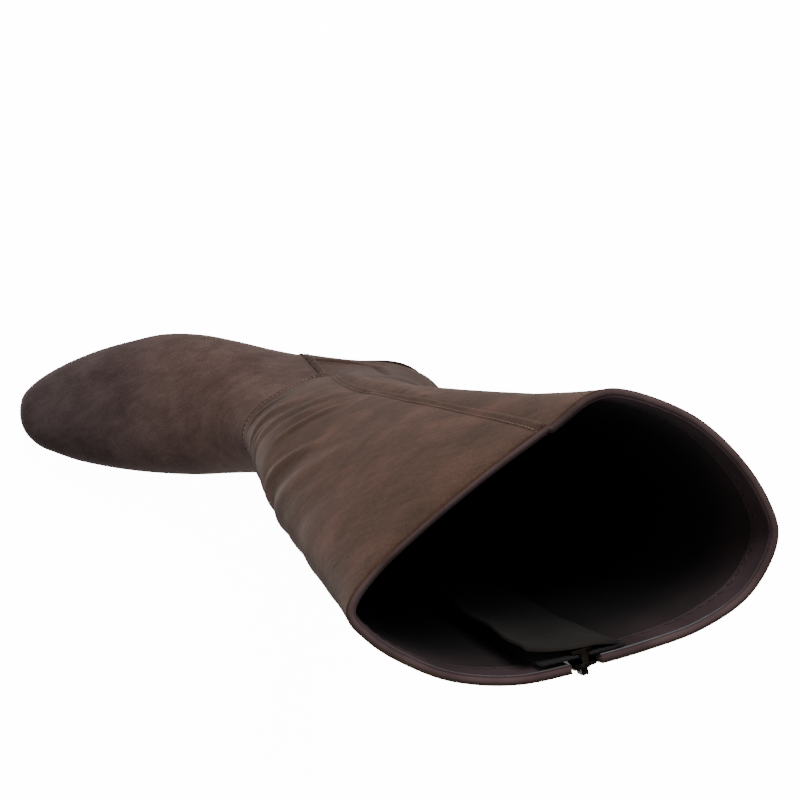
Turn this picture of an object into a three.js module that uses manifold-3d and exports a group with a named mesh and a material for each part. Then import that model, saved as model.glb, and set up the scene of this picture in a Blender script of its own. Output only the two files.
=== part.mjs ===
// A woman's knee-high boot for the right foot: a suede foot and leg closed by an inside zip, on a thin
// sole with a covered block heel.
// Millimetres. +X points to the toe, +Y to the inner side of the leg and +Z up.
// The origin is the centre of the heel's resting face, on the floor.
import * as THREE from "three";
import { mergeVertices } from "three/addons/utils/BufferGeometryUtils.js";
import Module from "manifold-3d";

const wasm = await Module();
wasm.setup();

// Driving sizes
const FOOT_LENGTH = 260; // back of the counter to the toe tip, over the upper
const HEEL_OVERHANG = 38.5; // the counter's back stands this far behind the origin
const BALL_WIDTH = 88;
const HEEL_WIDTH = 66;
const SEAT_HEIGHT = 50; // floor to the seat, at the back of the counter
const INSTEP_HEIGHT = 96; // seat to the front of the ankle
const LEG_HEIGHT = 228; // ankle to collar
const ANKLE_DEPTH = 102;
const ANKLE_WIDTH = 68;
const COLLAR_DEPTH = 124;
const COLLAR_WIDTH = 82;
const COLLAR_SETBACK = 15.5; // the collar's centre stands this far behind the origin
const COLLAR_OUTSET = 7; // and this far to the outer side

// Materials' thicknesses and clearances
const WALL = 2; // suede and lining together
const LEG_STEP = 1.2; // the leg's bottom edge laps over the foot by this much
const PANEL_STEP = 0.8; // a front leg panel, or the quarter, laps over its neighbour by this much
const FACING = 0.8; // extra thickness of the facing inside the collar
const FACING_DEPTH = 26;
const GAP = 0.3; // between pieces that meet
const TRIM = 13; // the lofts reach this far below the feather line, and are cut off there

// Sole
const SOLE_THICKNESS = 4.5;
const SOLE_LEDGE = 2.2; // the upper layer of the sole's edge
const SOLE_MARGIN = 1.4; // the ledge stands out from the upper
const SOLE_UNDERCUT = 0.7; // and the tread layer is set back under it
const INSOLE_THICKNESS = 2.5;
const TOE_SPRING = 9;
const SEAT_FALL = 2.5;
const SEAT_FRONT = 20; // the seat ends here, and the shank slopes down to the tread
const TREAD_BACK = 118; // the tread lies flat on the floor from here
const TREAD_FRONT = 160; // to here
const TOP_PIECE_THICKNESS = 6;

// Zip
const SEAM_TURN = 280; // degrees round the leg from its front, over the inner side, to the outer seam
const PANEL_TURN = 100; // the front panel ends here, inside the zip's slot
const SLOT_WIDTH = 9.4;
const SLOT_FOOT = 25; // the slot's foot stands this far above the seat
const CHAIN_WIDTH = 5.6;
const CHAIN_THICKNESS = 1.4;
const TAPE_WIDTH = 26;
const TAPE_THICKNESS = 0.7;
const TAPE_GAP = 0.45; // between tape and lining, clear of the lining's facets
const GUARD_THICKNESS = 1.2;
const GUARD_FRONT = 17; // the guard's free edge, ahead of the chain's middle
const GUARD_BACK = 11; // behind that middle, sewn to the tape over its last
const GUARD_SEAM = 7; // stretch
const GUARD_STAND = 3; // the free edge stands this far off the lining
const SLIDER_WIDTH = 8;
const SLIDER_LENGTH = 11;
const SLIDER_PLATE = 1.1;
const PULL_LENGTH = 22;
const PULL_WIDTH = 5;
const PULL_THICKNESS = 1.2;

const AROUND = 32; // facets round each section
const STEPS = 2; // rings from one section row to the next, outside
const INNER_STEPS = 1; // and inside
const SOLE_POINTS = 60; // points round the sole's outline

// Sections of the foot, upright, from the toe back. along is a share of FOOT_LENGTH from the counter,
// top and crest shares of INSTEP_HEIGHT and BALL_WIDTH, inner and outer half widths as shares of BALL_WIDTH.
// belly says where between top and bottom the section is widest, crown how square its top is.
const FOOT_SECTIONS = [
  { along: 0.9985, top: 0.055, trim: 0.25, inner: 0.05, outer: 0.035, crest: 0.025, belly: 0.5, crown: 2, keel: 2 },
  { along: 0.994, top: 0.105, trim: 0.6, inner: 0.12, outer: 0.078, crest: 0.025, belly: 0.5, crown: 2.1, keel: 2.4 },
  { along: 0.98, top: 0.18, trim: 1, inner: 0.195, outer: 0.135, crest: 0.02, belly: 0.5, crown: 2.2, keel: 2.8 },
  { along: 0.952, top: 0.252, trim: 1, inner: 0.27, outer: 0.208, crest: 0.018, belly: 0.54, crown: 2.3, keel: 3 },
  { along: 0.913, top: 0.318, trim: 1, inner: 0.322, outer: 0.282, crest: 0.018, belly: 0.57, crown: 2.3, keel: 3 },
  { along: 0.863, top: 0.384, trim: 1, inner: 0.376, outer: 0.355, crest: 0.022, belly: 0.6, crown: 2.25, keel: 3 },
  { along: 0.802, top: 0.455, trim: 1, inner: 0.416, outer: 0.424, crest: 0.03, belly: 0.62, crown: 2.2, keel: 3 },
  { along: 0.733, top: 0.548, trim: 1, inner: 0.446, outer: 0.481, crest: 0.038, belly: 0.65, crown: 2.1, keel: 3 },
  { along: 0.656, top: 0.662, trim: 1, inner: 0.464, outer: 0.53, crest: 0.045, belly: 0.68, crown: 2, keel: 3 },
];

// Sections that turn about the front of the ankle, from the instep to the top of the counter. front and
// back are the two ends in the side view: along as above, rise a share of INSTEP_HEIGHT above the seat.
const TURN_SECTIONS = [
  { frontAlong: 0.586, frontRise: 0.34, backAlong: 0.56, backRise: -0.545, inner: 0.46, outer: 0.53, crest: 0.045, belly: 0.7, crown: 1.95, keel: 3 },
  { frontAlong: 0.535, frontRise: 0.505, backAlong: 0.46, backRise: -0.43, inner: 0.425, outer: 0.49, crest: 0.04, belly: 0.68, crown: 1.95, keel: 3 },
  { frontAlong: 0.499, frontRise: 0.66, backAlong: 0.36, backRise: -0.29, inner: 0.39, outer: 0.442, crest: 0.034, belly: 0.64, crown: 1.95, keel: 3 },
  { frontAlong: 0.476, frontRise: 0.79, backAlong: 0.255, backRise: -0.175, inner: 0.373, outer: 0.405, crest: 0.028, belly: 0.61, crown: 1.95, keel: 2.9 },
  { frontAlong: 0.461, frontRise: 0.9, backAlong: 0.155, backRise: -0.15, inner: 0.365, outer: 0.38, crest: 0.022, belly: 0.59, crown: 1.95, keel: 2.8 },
  { frontAlong: 0.452, frontRise: 0.99, backAlong: 0.075, backRise: -0.13, inner: 0.362, outer: 0.366, crest: 0.02, belly: 0.58, crown: 1.95, keel: 2.7 },
  { frontAlong: 0.446, frontRise: 1.07, backAlong: 0.022, backRise: -0.06, inner: 0.362, outer: 0.358, crest: 0.02, belly: 0.58, crown: 1.95, keel: 2.6 },
  { frontAlong: 0.442, frontRise: 1.14, backAlong: 0.003, backRise: 0.11, inner: 0.364, outer: 0.354, crest: 0.022, belly: 0.57, crown: 1.95, keel: 2.5 },
  { frontAlong: 0.439, frontRise: 1.21, backAlong: 0, backRise: 0.32, inner: 0.366, outer: 0.354, crest: 0.026, belly: 0.56, crown: 2, keel: 2.35 },
  { frontAlong: 0.437, frontRise: 1.28, backAlong: 0.014, backRise: 0.57, inner: 0.37, outer: 0.356, crest: 0.03, belly: 0.55, crown: 2, keel: 2.2 },
  { frontAlong: 0.435, frontRise: 1.36, backAlong: 0.034, backRise: 0.82, inner: 0.376, outer: 0.36, crest: 0.038, belly: 0.53, crown: 2, keel: 2.1 },
  { frontAlong: 0.432, frontRise: 1.46, backAlong: 0.042, backRise: 1.09, inner: 0.38, outer: 0.363, crest: 0.046, belly: 0.52, crown: 2, keel: 2.05 },
  { frontAlong: 0.4265, frontRise: 1.6, backAlong: 0.037, backRise: 1.39, inner: 0.383, outer: 0.367, crest: 0.058, belly: 0.51, crown: 2, keel: 2 },
];

// Sections of the leg. up is a share of LEG_HEIGHT, front and back shares of ANKLE_DEPTH from the ankle's
// middle, inner, outer and crest shares of ANKLE_WIDTH, tilt the rise from back to front as a share of the depth,
// leaf the blend from a plain oval to the collar's own outline.
const LEG_SECTIONS = [
  { up: 0.12, front: 0.454, back: 0.56, inner: 0.5, outer: 0.48, crest: 0.1, tilt: 0.14, leaf: 0.02 },
  { up: 0.21, front: 0.438, back: 0.605, inner: 0.515, outer: 0.485, crest: 0.125, tilt: 0.05, leaf: 0.05 },
  { up: 0.32, front: 0.415, back: 0.66, inner: 0.535, outer: 0.5, crest: 0.15, tilt: 0, leaf: 0.1 },
  { up: 0.46, front: 0.382, back: 0.73, inner: 0.555, outer: 0.515, crest: 0.165, tilt: 0, leaf: 0.17 },
  { up: 0.62, front: 0.343, back: 0.805, inner: 0.57, outer: 0.535, crest: 0.17, tilt: 0, leaf: 0.28 },
  { up: 0.78, front: 0.3, back: 0.88, inner: 0.57, outer: 0.555, crest: 0.18, tilt: 0, leaf: 0.44 },
  { up: 0.92, front: 0.26, back: 0.945, inner: 0.56, outer: 0.585, crest: 0.19, tilt: 0, leaf: 0.72 },
  { up: 1, front: 0.235, back: 1, inner: 0.55, outer: 0.62, crest: 0.19, tilt: 0, leaf: 1 },
];
const ANKLE_MIDDLE = 24; // ahead of the origin
const ANKLE_RISE = 200; // height of the leg's foot, where the sections lie level

// The collar's outline as it hangs open, pinched at the front: turn in degrees from the front over the
// inner side, fore and side from the collar's centre as shares of COLLAR_DEPTH and COLLAR_WIDTH.
const COLLAR_OUTLINE = [
  { turn: 0, fore: 0.5, side: 0.233 },
  { turn: 20, fore: 0.464, side: 0.315 },
  { turn: 40, fore: 0.385, side: 0.399 },
  { turn: 60, fore: 0.266, side: 0.474 },
  { turn: 80, fore: 0.115, side: 0.495 },
  { turn: 100, fore: -0.044, side: 0.452 },
  { turn: 120, fore: -0.194, side: 0.396 },
  { turn: 140, fore: -0.329, side: 0.325 },
  { turn: 160, fore: -0.44, side: 0.208 },
  { turn: 180, fore: -0.5, side: 0.024 },
  { turn: 200, fore: -0.472, side: -0.125 },
  { turn: 220, fore: -0.393, side: -0.286 },
  { turn: 240, fore: -0.282, side: -0.423 },
  { turn: 260, fore: -0.131, side: -0.509 },
  { turn: 270, fore: -0.042, side: -0.496 },
  { turn: 280, fore: 0.052, side: -0.387 },
  { turn: 300, fore: 0.202, side: -0.22 },
  { turn: 320, fore: 0.345, side: -0.042 },
  { turn: 340, fore: 0.452, side: 0.113 },
];

// The heel block, level sections from the floor up: up is a share of its height, back and breast are
// shares of HEEL_WIDTH behind and ahead of the origin, half a share of HEEL_WIDTH.
const HEEL_SECTIONS = [
  { up: 0, back: 0.43, breast: 0.3, half: 0.405 },
  { up: 0.25, back: 0.435, breast: 0.29, half: 0.4 },
  { up: 0.5, back: 0.455, breast: 0.295, half: 0.41 },
  { up: 0.75, back: 0.495, breast: 0.33, half: 0.445 },
  { up: 1, back: 0.555, breast: 0.4, half: 0.49 },
  { up: 1.15, back: 0.565, breast: 0.42, half: 0.5 },
];

// The seam between vamp and leg in the side view: up the quarter, round its corner and forward over the
// instep. ahead and rise are shares of FOOT_LENGTH and INSTEP_HEIGHT, from the origin and from the seat.
const VAMP_LINE = [
  { ahead: 0.2, rise: -1.2 },
  { ahead: 0.192, rise: -0.2 },
  { ahead: 0.175, rise: 0.25 },
  { ahead: 0.152, rise: 0.6 },
  { ahead: 0.15, rise: 0.73 },
  { ahead: 0.185, rise: 0.8 },
  { ahead: 0.23, rise: 0.87 },
  { ahead: 0.28, rise: 0.93 },
  { ahead: 0.5, rise: 1.1 },
];
// The zip's middle line in the side view, the same way, from its foot to the collar.
const ZIP_LINE = [
  { ahead: 0.066, rise: -0.2 },
  { ahead: 0.066, rise: 0.25 },
  { ahead: 0.066, rise: 0.8 },
  { ahead: 0.06, rise: 1.3 },
  { ahead: 0.035, rise: 1.9 },
  { ahead: -0.01, rise: 2.7 },
  { ahead: -0.055, rise: 3.45 },
  { ahead: -0.0865, rise: 4 },
];

const rad = (degrees) => (degrees * Math.PI) / 180;
const mix = (a, b, share) => a + (b - a) * share;
const clamp01 = (v) => Math.min(1, Math.max(0, v));
const ease = (v) => clamp01(v) ** 2 * (3 - 2 * clamp01(v));

// Smooth curve through four values in a row, for a share between the middle two.
function through(a, b, c, d, s) {
  return 0.5 * (2 * b + (c - a) * s + (2 * a - 5 * b + 4 * c - d) * s * s + (3 * b - a - 3 * c + d) * s ** 3);
}

// Height of the feather line, where upper and sole meet, in the side view.
function feather(x) {
  const back = -HEEL_OVERHANG;
  const seat = (ahead) => SEAT_HEIGHT - (SEAT_FALL * (ahead - back)) / (SEAT_FRONT - back);
  if (x <= SEAT_FRONT) return seat(x);
  if (x >= TREAD_FRONT) {
    const reach = FOOT_LENGTH - HEEL_OVERHANG - TREAD_FRONT;
    return SOLE_THICKNESS + TOE_SPRING * ((x - TREAD_FRONT) / reach) ** 2;
  }
  if (x >= TREAD_BACK) return SOLE_THICKNESS;
  const span = TREAD_BACK - SEAT_FRONT;
  const s = (x - SEAT_FRONT) / span;
  const slope = (-SEAT_FALL / (SEAT_FRONT - back)) * span * 2.5;
  const high = seat(SEAT_FRONT);
  return (
    high * (2 * s ** 3 - 3 * s ** 2 + 1) +
    slope * (s ** 3 - 2 * s ** 2 + s) +
    SOLE_THICKNESS * (3 * s ** 2 - 2 * s ** 3)
  );
}

// One row of sizes for each section, whatever part of the boot it belongs to.
function footRow(r) {
  const x = r.along * FOOT_LENGTH - HEEL_OVERHANG;
  const base = feather(x);
  return {
    front: [x, base + r.top * INSTEP_HEIGHT],
    back: [x, base - r.trim * TRIM],
    inner: r.inner * BALL_WIDTH,
    outer: r.outer * BALL_WIDTH,
    crest: r.crest * BALL_WIDTH,
    belly: r.belly,
    crown: r.crown,
    keel: r.keel,
    leaf: 0,
  };
}

function turnRow(r) {
  return {
    front: [r.frontAlong * FOOT_LENGTH - HEEL_OVERHANG, SEAT_HEIGHT + r.frontRise * INSTEP_HEIGHT],
    back: [r.backAlong * FOOT_LENGTH - HEEL_OVERHANG, SEAT_HEIGHT + r.backRise * INSTEP_HEIGHT],
    inner: r.inner * BALL_WIDTH,
    outer: r.outer * BALL_WIDTH,
    crest: r.crest * BALL_WIDTH,
    belly: r.belly,
    crown: r.crown,
    keel: r.keel,
    leaf: 0,
  };
}

function legRow(r) {
  const z = ANKLE_RISE + r.up * LEG_HEIGHT;
  const tilt = r.tilt * ANKLE_DEPTH;
  return {
    front: [ANKLE_MIDDLE + r.front * ANKLE_DEPTH, z + tilt / 2],
    back: [ANKLE_MIDDLE - r.back * ANKLE_DEPTH, z - tilt / 2],
    inner: r.inner * ANKLE_WIDTH,
    outer: r.outer * ANKLE_WIDTH,
    crest: r.crest * ANKLE_WIDTH,
    belly: 0.5,
    crown: 2,
    keel: 2,
    leaf: r.leaf,
  };
}

const ROWS = [...FOOT_SECTIONS.map(footRow), ...TURN_SECTIONS.map(turnRow), ...LEG_SECTIONS.map(legRow)];
const LAST_ROW = ROWS.length - 1;

// The sizes of the section at a place between rows.
function sectionAt(place) {
  const p = Math.min(Math.max(place, 0), LAST_ROW);
  const k = Math.min(Math.floor(p), LAST_ROW - 1);
  const [a, b, c, d] = [k - 1, k, k + 1, k + 2].map((n) => ROWS[Math.min(Math.max(n, 0), LAST_ROW)]);
  const s = p - k;
  const one = (key) => through(a[key], b[key], c[key], d[key], s);
  const pair = (key) => [0, 1].map((n) => through(a[key][n], b[key][n], c[key][n], d[key][n], s));
  return {
    front: pair("front"),
    back: pair("back"),
    inner: one("inner"),
    outer: one("outer"),
    crest: one("crest"),
    belly: one("belly"),
    crown: one("crown"),
    keel: one("keel"),
    leaf: clamp01(mix(b.leaf, c.leaf, s)),
  };
}

// The collar's outline at a turn in degrees.
function collarPoint(turn) {
  const around = ((turn % 360) + 360) % 360;
  const count = COLLAR_OUTLINE.length;
  const k = COLLAR_OUTLINE.findLastIndex((r) => r.turn <= around);
  const next = k + 1 < count ? COLLAR_OUTLINE[k + 1].turn : 360;
  const s = (around - COLLAR_OUTLINE[k].turn) / (next - COLLAR_OUTLINE[k].turn);
  const [a, b, c, d] = [k - 1, k, k + 1, k + 2].map((n) => COLLAR_OUTLINE[(n + count) % count]);
  return [
    -COLLAR_SETBACK + through(a.fore, b.fore, c.fore, d.fore, s) * COLLAR_DEPTH,
    -COLLAR_OUTSET + through(a.side, b.side, c.side, d.side, s) * COLLAR_WIDTH,
  ];
}

// A point of the boot's outside: place runs along the sections, turn round them from the front or top.
function surface(place, turn) {
  const q = sectionAt(place);
  const c = Math.cos(rad(turn));
  const s = Math.sin(rad(turn));
  const power = 2 / (c >= 0 ? q.crown : q.keel);
  const reach = Math.abs(c) ** power;
  const share = c >= 0 ? q.belly * (1 - reach) : q.belly + (1 - q.belly) * reach;
  const side = Math.sign(s) * Math.abs(s) ** power * (s >= 0 ? q.inner : q.outer);
  const crest = q.crest * Math.max(0, 1 - share / q.belly);
  const oval = new THREE.Vector3(
    mix(q.front[0], q.back[0], share),
    side + crest,
    mix(q.front[1], q.back[1], share),
  );
  if (q.leaf <= 0) return oval;
  const [fore, out] = collarPoint(turn);
  return new THREE.Vector3(mix(oval.x, fore, q.leaf), mix(oval.y, out, q.leaf), oval.z);
}

// The unit normal there, pointing outwards.
function normal(place, turn) {
  const dp = 0.05;
  const dt = 1.5;
  const along = surface(Math.min(place + dp, LAST_ROW), turn).sub(surface(Math.max(place - dp, 0), turn));
  const round = surface(place, turn + dt).sub(surface(place, turn - dt));
  return round.cross(along).normalize();
}

const pushed = (place, turn, depth) => surface(place, turn).addScaledVector(normal(place, turn), depth);

// A manifold solid from a three.js geometry.
function solid(geometry) {
  const bare = geometry.index ? geometry.toNonIndexed() : geometry.clone();
  bare.deleteAttribute("normal");
  bare.deleteAttribute("uv");
  const merged = mergeVertices(bare, 1e-4);
  return new wasm.Manifold(
    new wasm.Mesh({
      numProp: 3,
      vertProperties: merged.attributes.position.array,
      triVerts: new Uint32Array(merged.index.array),
    }),
  );
}

// A closed solid lofted through rings of the same number of points, with both ends capped.
function loft(rings) {
  const count = rings[0].length;
  const points = rings.flat();
  const faces = [];
  for (let i = 0; i + 1 < rings.length; i++)
    for (let j = 0; j < count; j++) {
      const a = i * count + j;
      const b = i * count + ((j + 1) % count);
      faces.push(a, b, b + count, a, b + count, a + count);
    }
  for (const [first, turned] of [
    [0, true],
    [(rings.length - 1) * count, false],
  ]) {
    const middle = new THREE.Vector3();
    for (let j = 0; j < count; j++) middle.addScaledVector(points[first + j], 1 / count);
    points.push(middle);
    const hub = points.length - 1;
    for (let j = 0; j < count; j++) {
      const a = first + j;
      const b = first + ((j + 1) % count);
      faces.push(...(turned ? [hub, b, a] : [hub, a, b]));
    }
  }
  const geometry = new THREE.BufferGeometry().setFromPoints(points).setIndex(faces);
  const made = solid(geometry);
  return made.volume() < 0 ? solid(new THREE.BufferGeometry().setFromPoints(points).setIndex(faces.reverse())) : made;
}

// Turns at which each ring has a point: even facets, and a close pair at the side seam for its step.
const SEAM_HALF = 0.6;
const TURNS = [...Array(AROUND).keys()]
  .map((n) => (n * 360) / AROUND)
  .filter((turn) => Math.abs(turn - SEAM_TURN) > 3)
  .concat([SEAM_TURN - SEAM_HALF, SEAM_TURN + SEAM_HALF])
  .sort((a, b) => a - b);

// The whole boot's outside pushed out by depth(turn), from one row to another, run on above by lift.
function skin(depth, from, to, lift = 0, steps = STEPS) {
  const count = Math.round((to - from) * steps);
  const places = [...Array(count + 1).keys()].map((n) => mix(from, to, n / count));
  const rings = places.map((place) => TURNS.map((turn) => pushed(place, turn, depth(turn))));
  if (lift) rings.push(rings.at(-1).map((p) => p.clone().setZ(p.z + lift)));
  return loft(rings);
}

// A prism between a list of [x, z] points in the side view.
function sidePrism(points) {
  const reach = BALL_WIDTH * 1.5;
  const shape = new THREE.Shape(points.map(([x, z]) => new THREE.Vector2(x, z)));
  const geometry = new THREE.ExtrudeGeometry(shape, { depth: 2 * reach, bevelEnabled: false });
  return solid(geometry.translate(0, 0, -reach).rotateX(Math.PI / 2));
}

// A prism over a list of [x, y] points in plan.
function planPrism(points) {
  const shape = new THREE.Shape(points.map(([x, y]) => new THREE.Vector2(x, y)));
  const height = SEAT_HEIGHT * 3;
  const geometry = new THREE.ExtrudeGeometry(shape, { depth: height, bevelEnabled: false });
  return solid(geometry.translate(0, 0, -SEAT_HEIGHT));
}

// A slab that follows the feather line, from one depth below it to another.
function featherSlab(low, high) {
  const from = -HEEL_OVERHANG - 30;
  const to = FOOT_LENGTH - HEEL_OVERHANG + 30;
  const xs = [from];
  for (let x = -HEEL_OVERHANG; x < SEAT_FRONT; x += 20) xs.push(x);
  for (let n = 0; n <= 10; n++) xs.push(mix(SEAT_FRONT, TREAD_BACK, n / 10));
  for (let n = 0; n <= 8; n++) xs.push(mix(TREAD_FRONT, to, n / 8));
  const top = xs.map((x) => [x, feather(x) + high]);
  const bottom = xs.map((x) => [x, feather(x) + low]);
  return sidePrism([...bottom, ...top.reverse()]);
}

// Everything ahead of the seam between vamp and leg, moved by a distance ahead and down.
function vampSide(shift) {
  const far = FOOT_LENGTH;
  const seam = VAMP_LINE.map((r) => [r.ahead * far + shift, SEAT_HEIGHT + r.rise * INSTEP_HEIGHT - shift]);
  return sidePrism([...seam, [far * 2, seam.at(-1)[1]], [far * 2, seam[0][1]]]);
}

// The plan outline where the upper meets the feather line, found on each section in turn: the inner side
// from the toe to the heel, then the outer side back to the toe.
function featherOutline() {
  const over = (p) => p.z > feather(p.x);
  const cross = (test, low, high) => {
    for (let n = 0; n < 24; n++) {
      const mid = (low + high) / 2;
      if (test(mid)) low = mid;
      else high = mid;
    }
    return low;
  };
  const turned = FOOT_SECTIONS.length;
  const last = cross((place) => !over(surface(place, 180)), turned, turned + TURN_SECTIONS.length);
  const count = 160;
  const points = [];
  for (const side of [1, -1])
    for (let n = 0; n <= count; n++) {
      const place = last * (side > 0 ? n / count : 1 - n / count);
      const turn = cross((angle) => over(surface(place, side * angle)), 60, 180);
      points.push(surface(place, side * turn));
    }
  const plan = points.map((p) => new THREE.Vector2(p.x, p.y));
  const length = [0];
  for (let n = 1; n <= plan.length; n++)
    length.push(length[n - 1] + plan[n % plan.length].distanceTo(plan[n - 1]));
  return [...Array(SOLE_POINTS).keys()].map((n) => {
    const target = (n / SOLE_POINTS) * length.at(-1);
    const k = Math.max(1, length.findIndex((l) => l > target));
    const s = (target - length[k - 1]) / (length[k] - length[k - 1]);
    const p = plan[k - 1].clone().lerp(plan[k % plan.length], s);
    return [p.x, p.y];
  });
}

// An outline pushed out, or in where the distance is negative, along its own normals.
function grown(outline, distance) {
  const count = outline.length;
  return outline.map(([x, y], n) => {
    const [ax, ay] = outline[(n + count - 1) % count];
    const [bx, by] = outline[(n + 1) % count];
    const length = Math.hypot(bx - ax, by - ay);
    return [x + ((by - ay) / length) * distance, y - ((bx - ax) / length) * distance];
  });
}

const OUTLINE = featherOutline();

function makeOutsole() {
  const ledge = planPrism(grown(OUTLINE, SOLE_MARGIN)).intersect(featherSlab(-SOLE_LEDGE, -GAP / 2));
  const tread = planPrism(grown(OUTLINE, SOLE_MARGIN - SOLE_UNDERCUT)).intersect(
    featherSlab(-SOLE_THICKNESS, -SOLE_LEDGE / 2),
  );
  return ledge.add(tread);
}

function makeInsole() {
  const end = FOOT_SECTIONS.length + TURN_SECTIONS.length - 2;
  return skin(() => -(WALL + GAP), 1, end, 0, INNER_STEPS).intersect(featherSlab(GAP / 2, GAP / 2 + INSOLE_THICKNESS));
}

// One level ring of the heel: round at the back, square at the breast.
function heelRing(row, z) {
  const back = row.back * HEEL_WIDTH;
  const breast = row.breast * HEEL_WIDTH;
  const half = row.half * HEEL_WIDTH;
  const count = 28;
  return [...Array(count).keys()].map((n) => {
    const angle = (n / count) * 2 * Math.PI;
    const c = Math.cos(angle);
    const s = Math.sin(angle);
    const square = c > 0 ? 7 : 2.5;
    const x = Math.sign(c) * Math.abs(c) ** (2 / square) * (c > 0 ? breast : back);
    return new THREE.Vector3(x, Math.sign(s) * Math.abs(s) ** (2 / square) * half, z);
  });
}

function makeHeelBlock() {
  const base = TOP_PIECE_THICKNESS + GAP;
  const height = SEAT_HEIGHT - SOLE_THICKNESS - base;
  const block = loft(HEEL_SECTIONS.map((r) => heelRing(r, base + r.up * height)));
  return block.intersect(featherSlab(-SEAT_HEIGHT * 2, -SOLE_THICKNESS - GAP));
}

function makeTopPiece() {
  const [foot] = HEEL_SECTIONS;
  return loft([heelRing(foot, 0), heelRing(foot, TOP_PIECE_THICKNESS)]);
}

// The turn at which each section crosses the zip's line, on the inner side.
function zipTurn(place) {
  const line = ZIP_LINE.map((r) => [r.ahead * FOOT_LENGTH, SEAT_HEIGHT + r.rise * INSTEP_HEIGHT]);
  const ahead = (p) => {
    const k = Math.min(Math.max(1, line.findIndex(([, z]) => z > p.z)), line.length - 1);
    const [a, b, c, d] = [k - 2, k - 1, k, k + 1].map((n) => line[Math.min(Math.max(n, 0), line.length - 1)]);
    return p.x > through(a[0], b[0], c[0], d[0], clamp01((p.z - b[1]) / (c[1] - b[1])));
  };
  let low = 30;
  let high = 170;
  for (let n = 0; n < 24; n++) {
    const mid = (low + high) / 2;
    if (ahead(surface(place, mid))) low = mid;
    else high = mid;
  }
  return low;
}

// The place at which the zip's line is at a height above the seat.
function zipPlace(rise) {
  let low = FOOT_SECTIONS.length + 2;
  let high = LAST_ROW;
  for (let n = 0; n < 24; n++) {
    const mid = (low + high) / 2;
    if (surface(mid, zipTurn(mid)).z > SEAT_HEIGHT + rise) high = mid;
    else low = mid;
  }
  return low;
}

// A strip of the leg's own surface beside the zip line, between two distances from the chain's middle
// (positive towards the front) and between two depths that may change along it.
function strip({ from, to, front, back, outer, inner, lift = 0, across = 6 }) {
  const count = Math.ceil((to - from) * 2);
  const rings = [];
  for (let n = 0; n <= count; n++) {
    const place = mix(from, to, n / count);
    const middle = zipTurn(place);
    const perDegree = surface(place, middle + 1).distanceTo(surface(place, middle - 1)) / 2;
    const edge = (side, depth) => pushed(place, middle - side / perDegree, depth(place, side));
    const sides = [...Array(across + 1).keys()].map((k) => mix(-back, front, k / across));
    rings.push([...sides.map((s) => edge(s, outer)), ...sides.reverse().map((s) => edge(s, inner))]);
  }
  if (lift) rings.push(rings.at(-1).map((p) => p.clone().setZ(p.z + lift)));
  return loft(rings);
}

// Depth of the wall's inner face along the zip, which steps in at the facing.
const lining = (place) => LEG_STEP - WALL - FACING * ease((place - (LAST_ROW - 1.8)) / 0.4);
const ZIP_TOP = LAST_ROW - 0.06;

function makeSlot() {
  return strip({
    from: zipPlace(SLOT_FOOT),
    to: LAST_ROW,
    front: SLOT_WIDTH / 2,
    back: SLOT_WIDTH / 2,
    outer: () => 8,
    inner: () => -6,
    lift: 12,
    across: 2,
  });
}

// The post's slot at the head of tape and chain, where the slider parts them.
function makeThroat(width, from) {
  return strip({
    from,
    to: LAST_ROW,
    front: width / 2,
    back: width / 2,
    outer: () => 6,
    inner: () => -8,
    lift: 8,
    across: 2,
  });
}

const HEAD_PLACE = LAST_ROW - 0.36;

function makeTape() {
  const depth = (extra) => (place) => lining(place) - TAPE_GAP - extra;
  const tape = strip({
    from: zipPlace(SLOT_FOOT - 6),
    to: ZIP_TOP,
    front: TAPE_WIDTH / 2,
    back: TAPE_WIDTH / 2,
    outer: depth(0),
    inner: depth(TAPE_THICKNESS),
    across: 4,
  });
  return tape.subtract(makeThroat(3.4, HEAD_PLACE));
}

function makeChain() {
  return strip({
    from: zipPlace(SLOT_FOOT + 3.6),
    to: HEAD_PLACE,
    front: CHAIN_WIDTH / 2,
    back: CHAIN_WIDTH / 2,
    outer: (place) => lining(place) + CHAIN_THICKNESS,
    inner: (place) => lining(place),
    across: 2,
  });
}

function makeGuard() {
  const seam = TAPE_GAP + TAPE_THICKNESS + GAP;
  const free = GUARD_FRONT + GUARD_BACK - GUARD_SEAM;
  const behind = (side) => {
    const past = side + GUARD_BACK - GUARD_SEAM;
    const ramp = (SLIDER_PLATE + GAP) * clamp01(past / GUARD_SEAM + 1);
    return seam + ramp + GUARD_STAND * clamp01(past / free) ** 2;
  };
  return strip({
    from: zipPlace(SLOT_FOOT - 6),
    to: ZIP_TOP,
    front: GUARD_FRONT,
    back: GUARD_BACK,
    outer: (place, side) => lining(place) - behind(side),
    inner: (place, side) => lining(place) - behind(side) - GUARD_THICKNESS,
    across: 4,
  });
}

// The slider's own frame: x across the zip towards the front, y up the zip, z out of the leg, at the
// middle of its body.
function sliderFrame() {
  const at = (place) => pushed(place, zipTurn(place), lining(place));
  const top = at(ZIP_TOP);
  const low = at(LAST_ROW - 0.6);
  const up = top.clone().sub(low).normalize();
  const out = normal(ZIP_TOP - 0.2, zipTurn(ZIP_TOP - 0.2));
  out.addScaledVector(up, -out.dot(up)).normalize();
  const across = up.clone().cross(out);
  const middle = top.clone().addScaledVector(up, -SLIDER_LENGTH / 2 - 0.5);
  return new THREE.Matrix4().makeBasis(across, up, out).setPosition(middle);
}

function boxAt(width, length, depth, x, y, z) {
  return new THREE.BoxGeometry(width, length, depth).translate(x, y, z);
}

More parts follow.
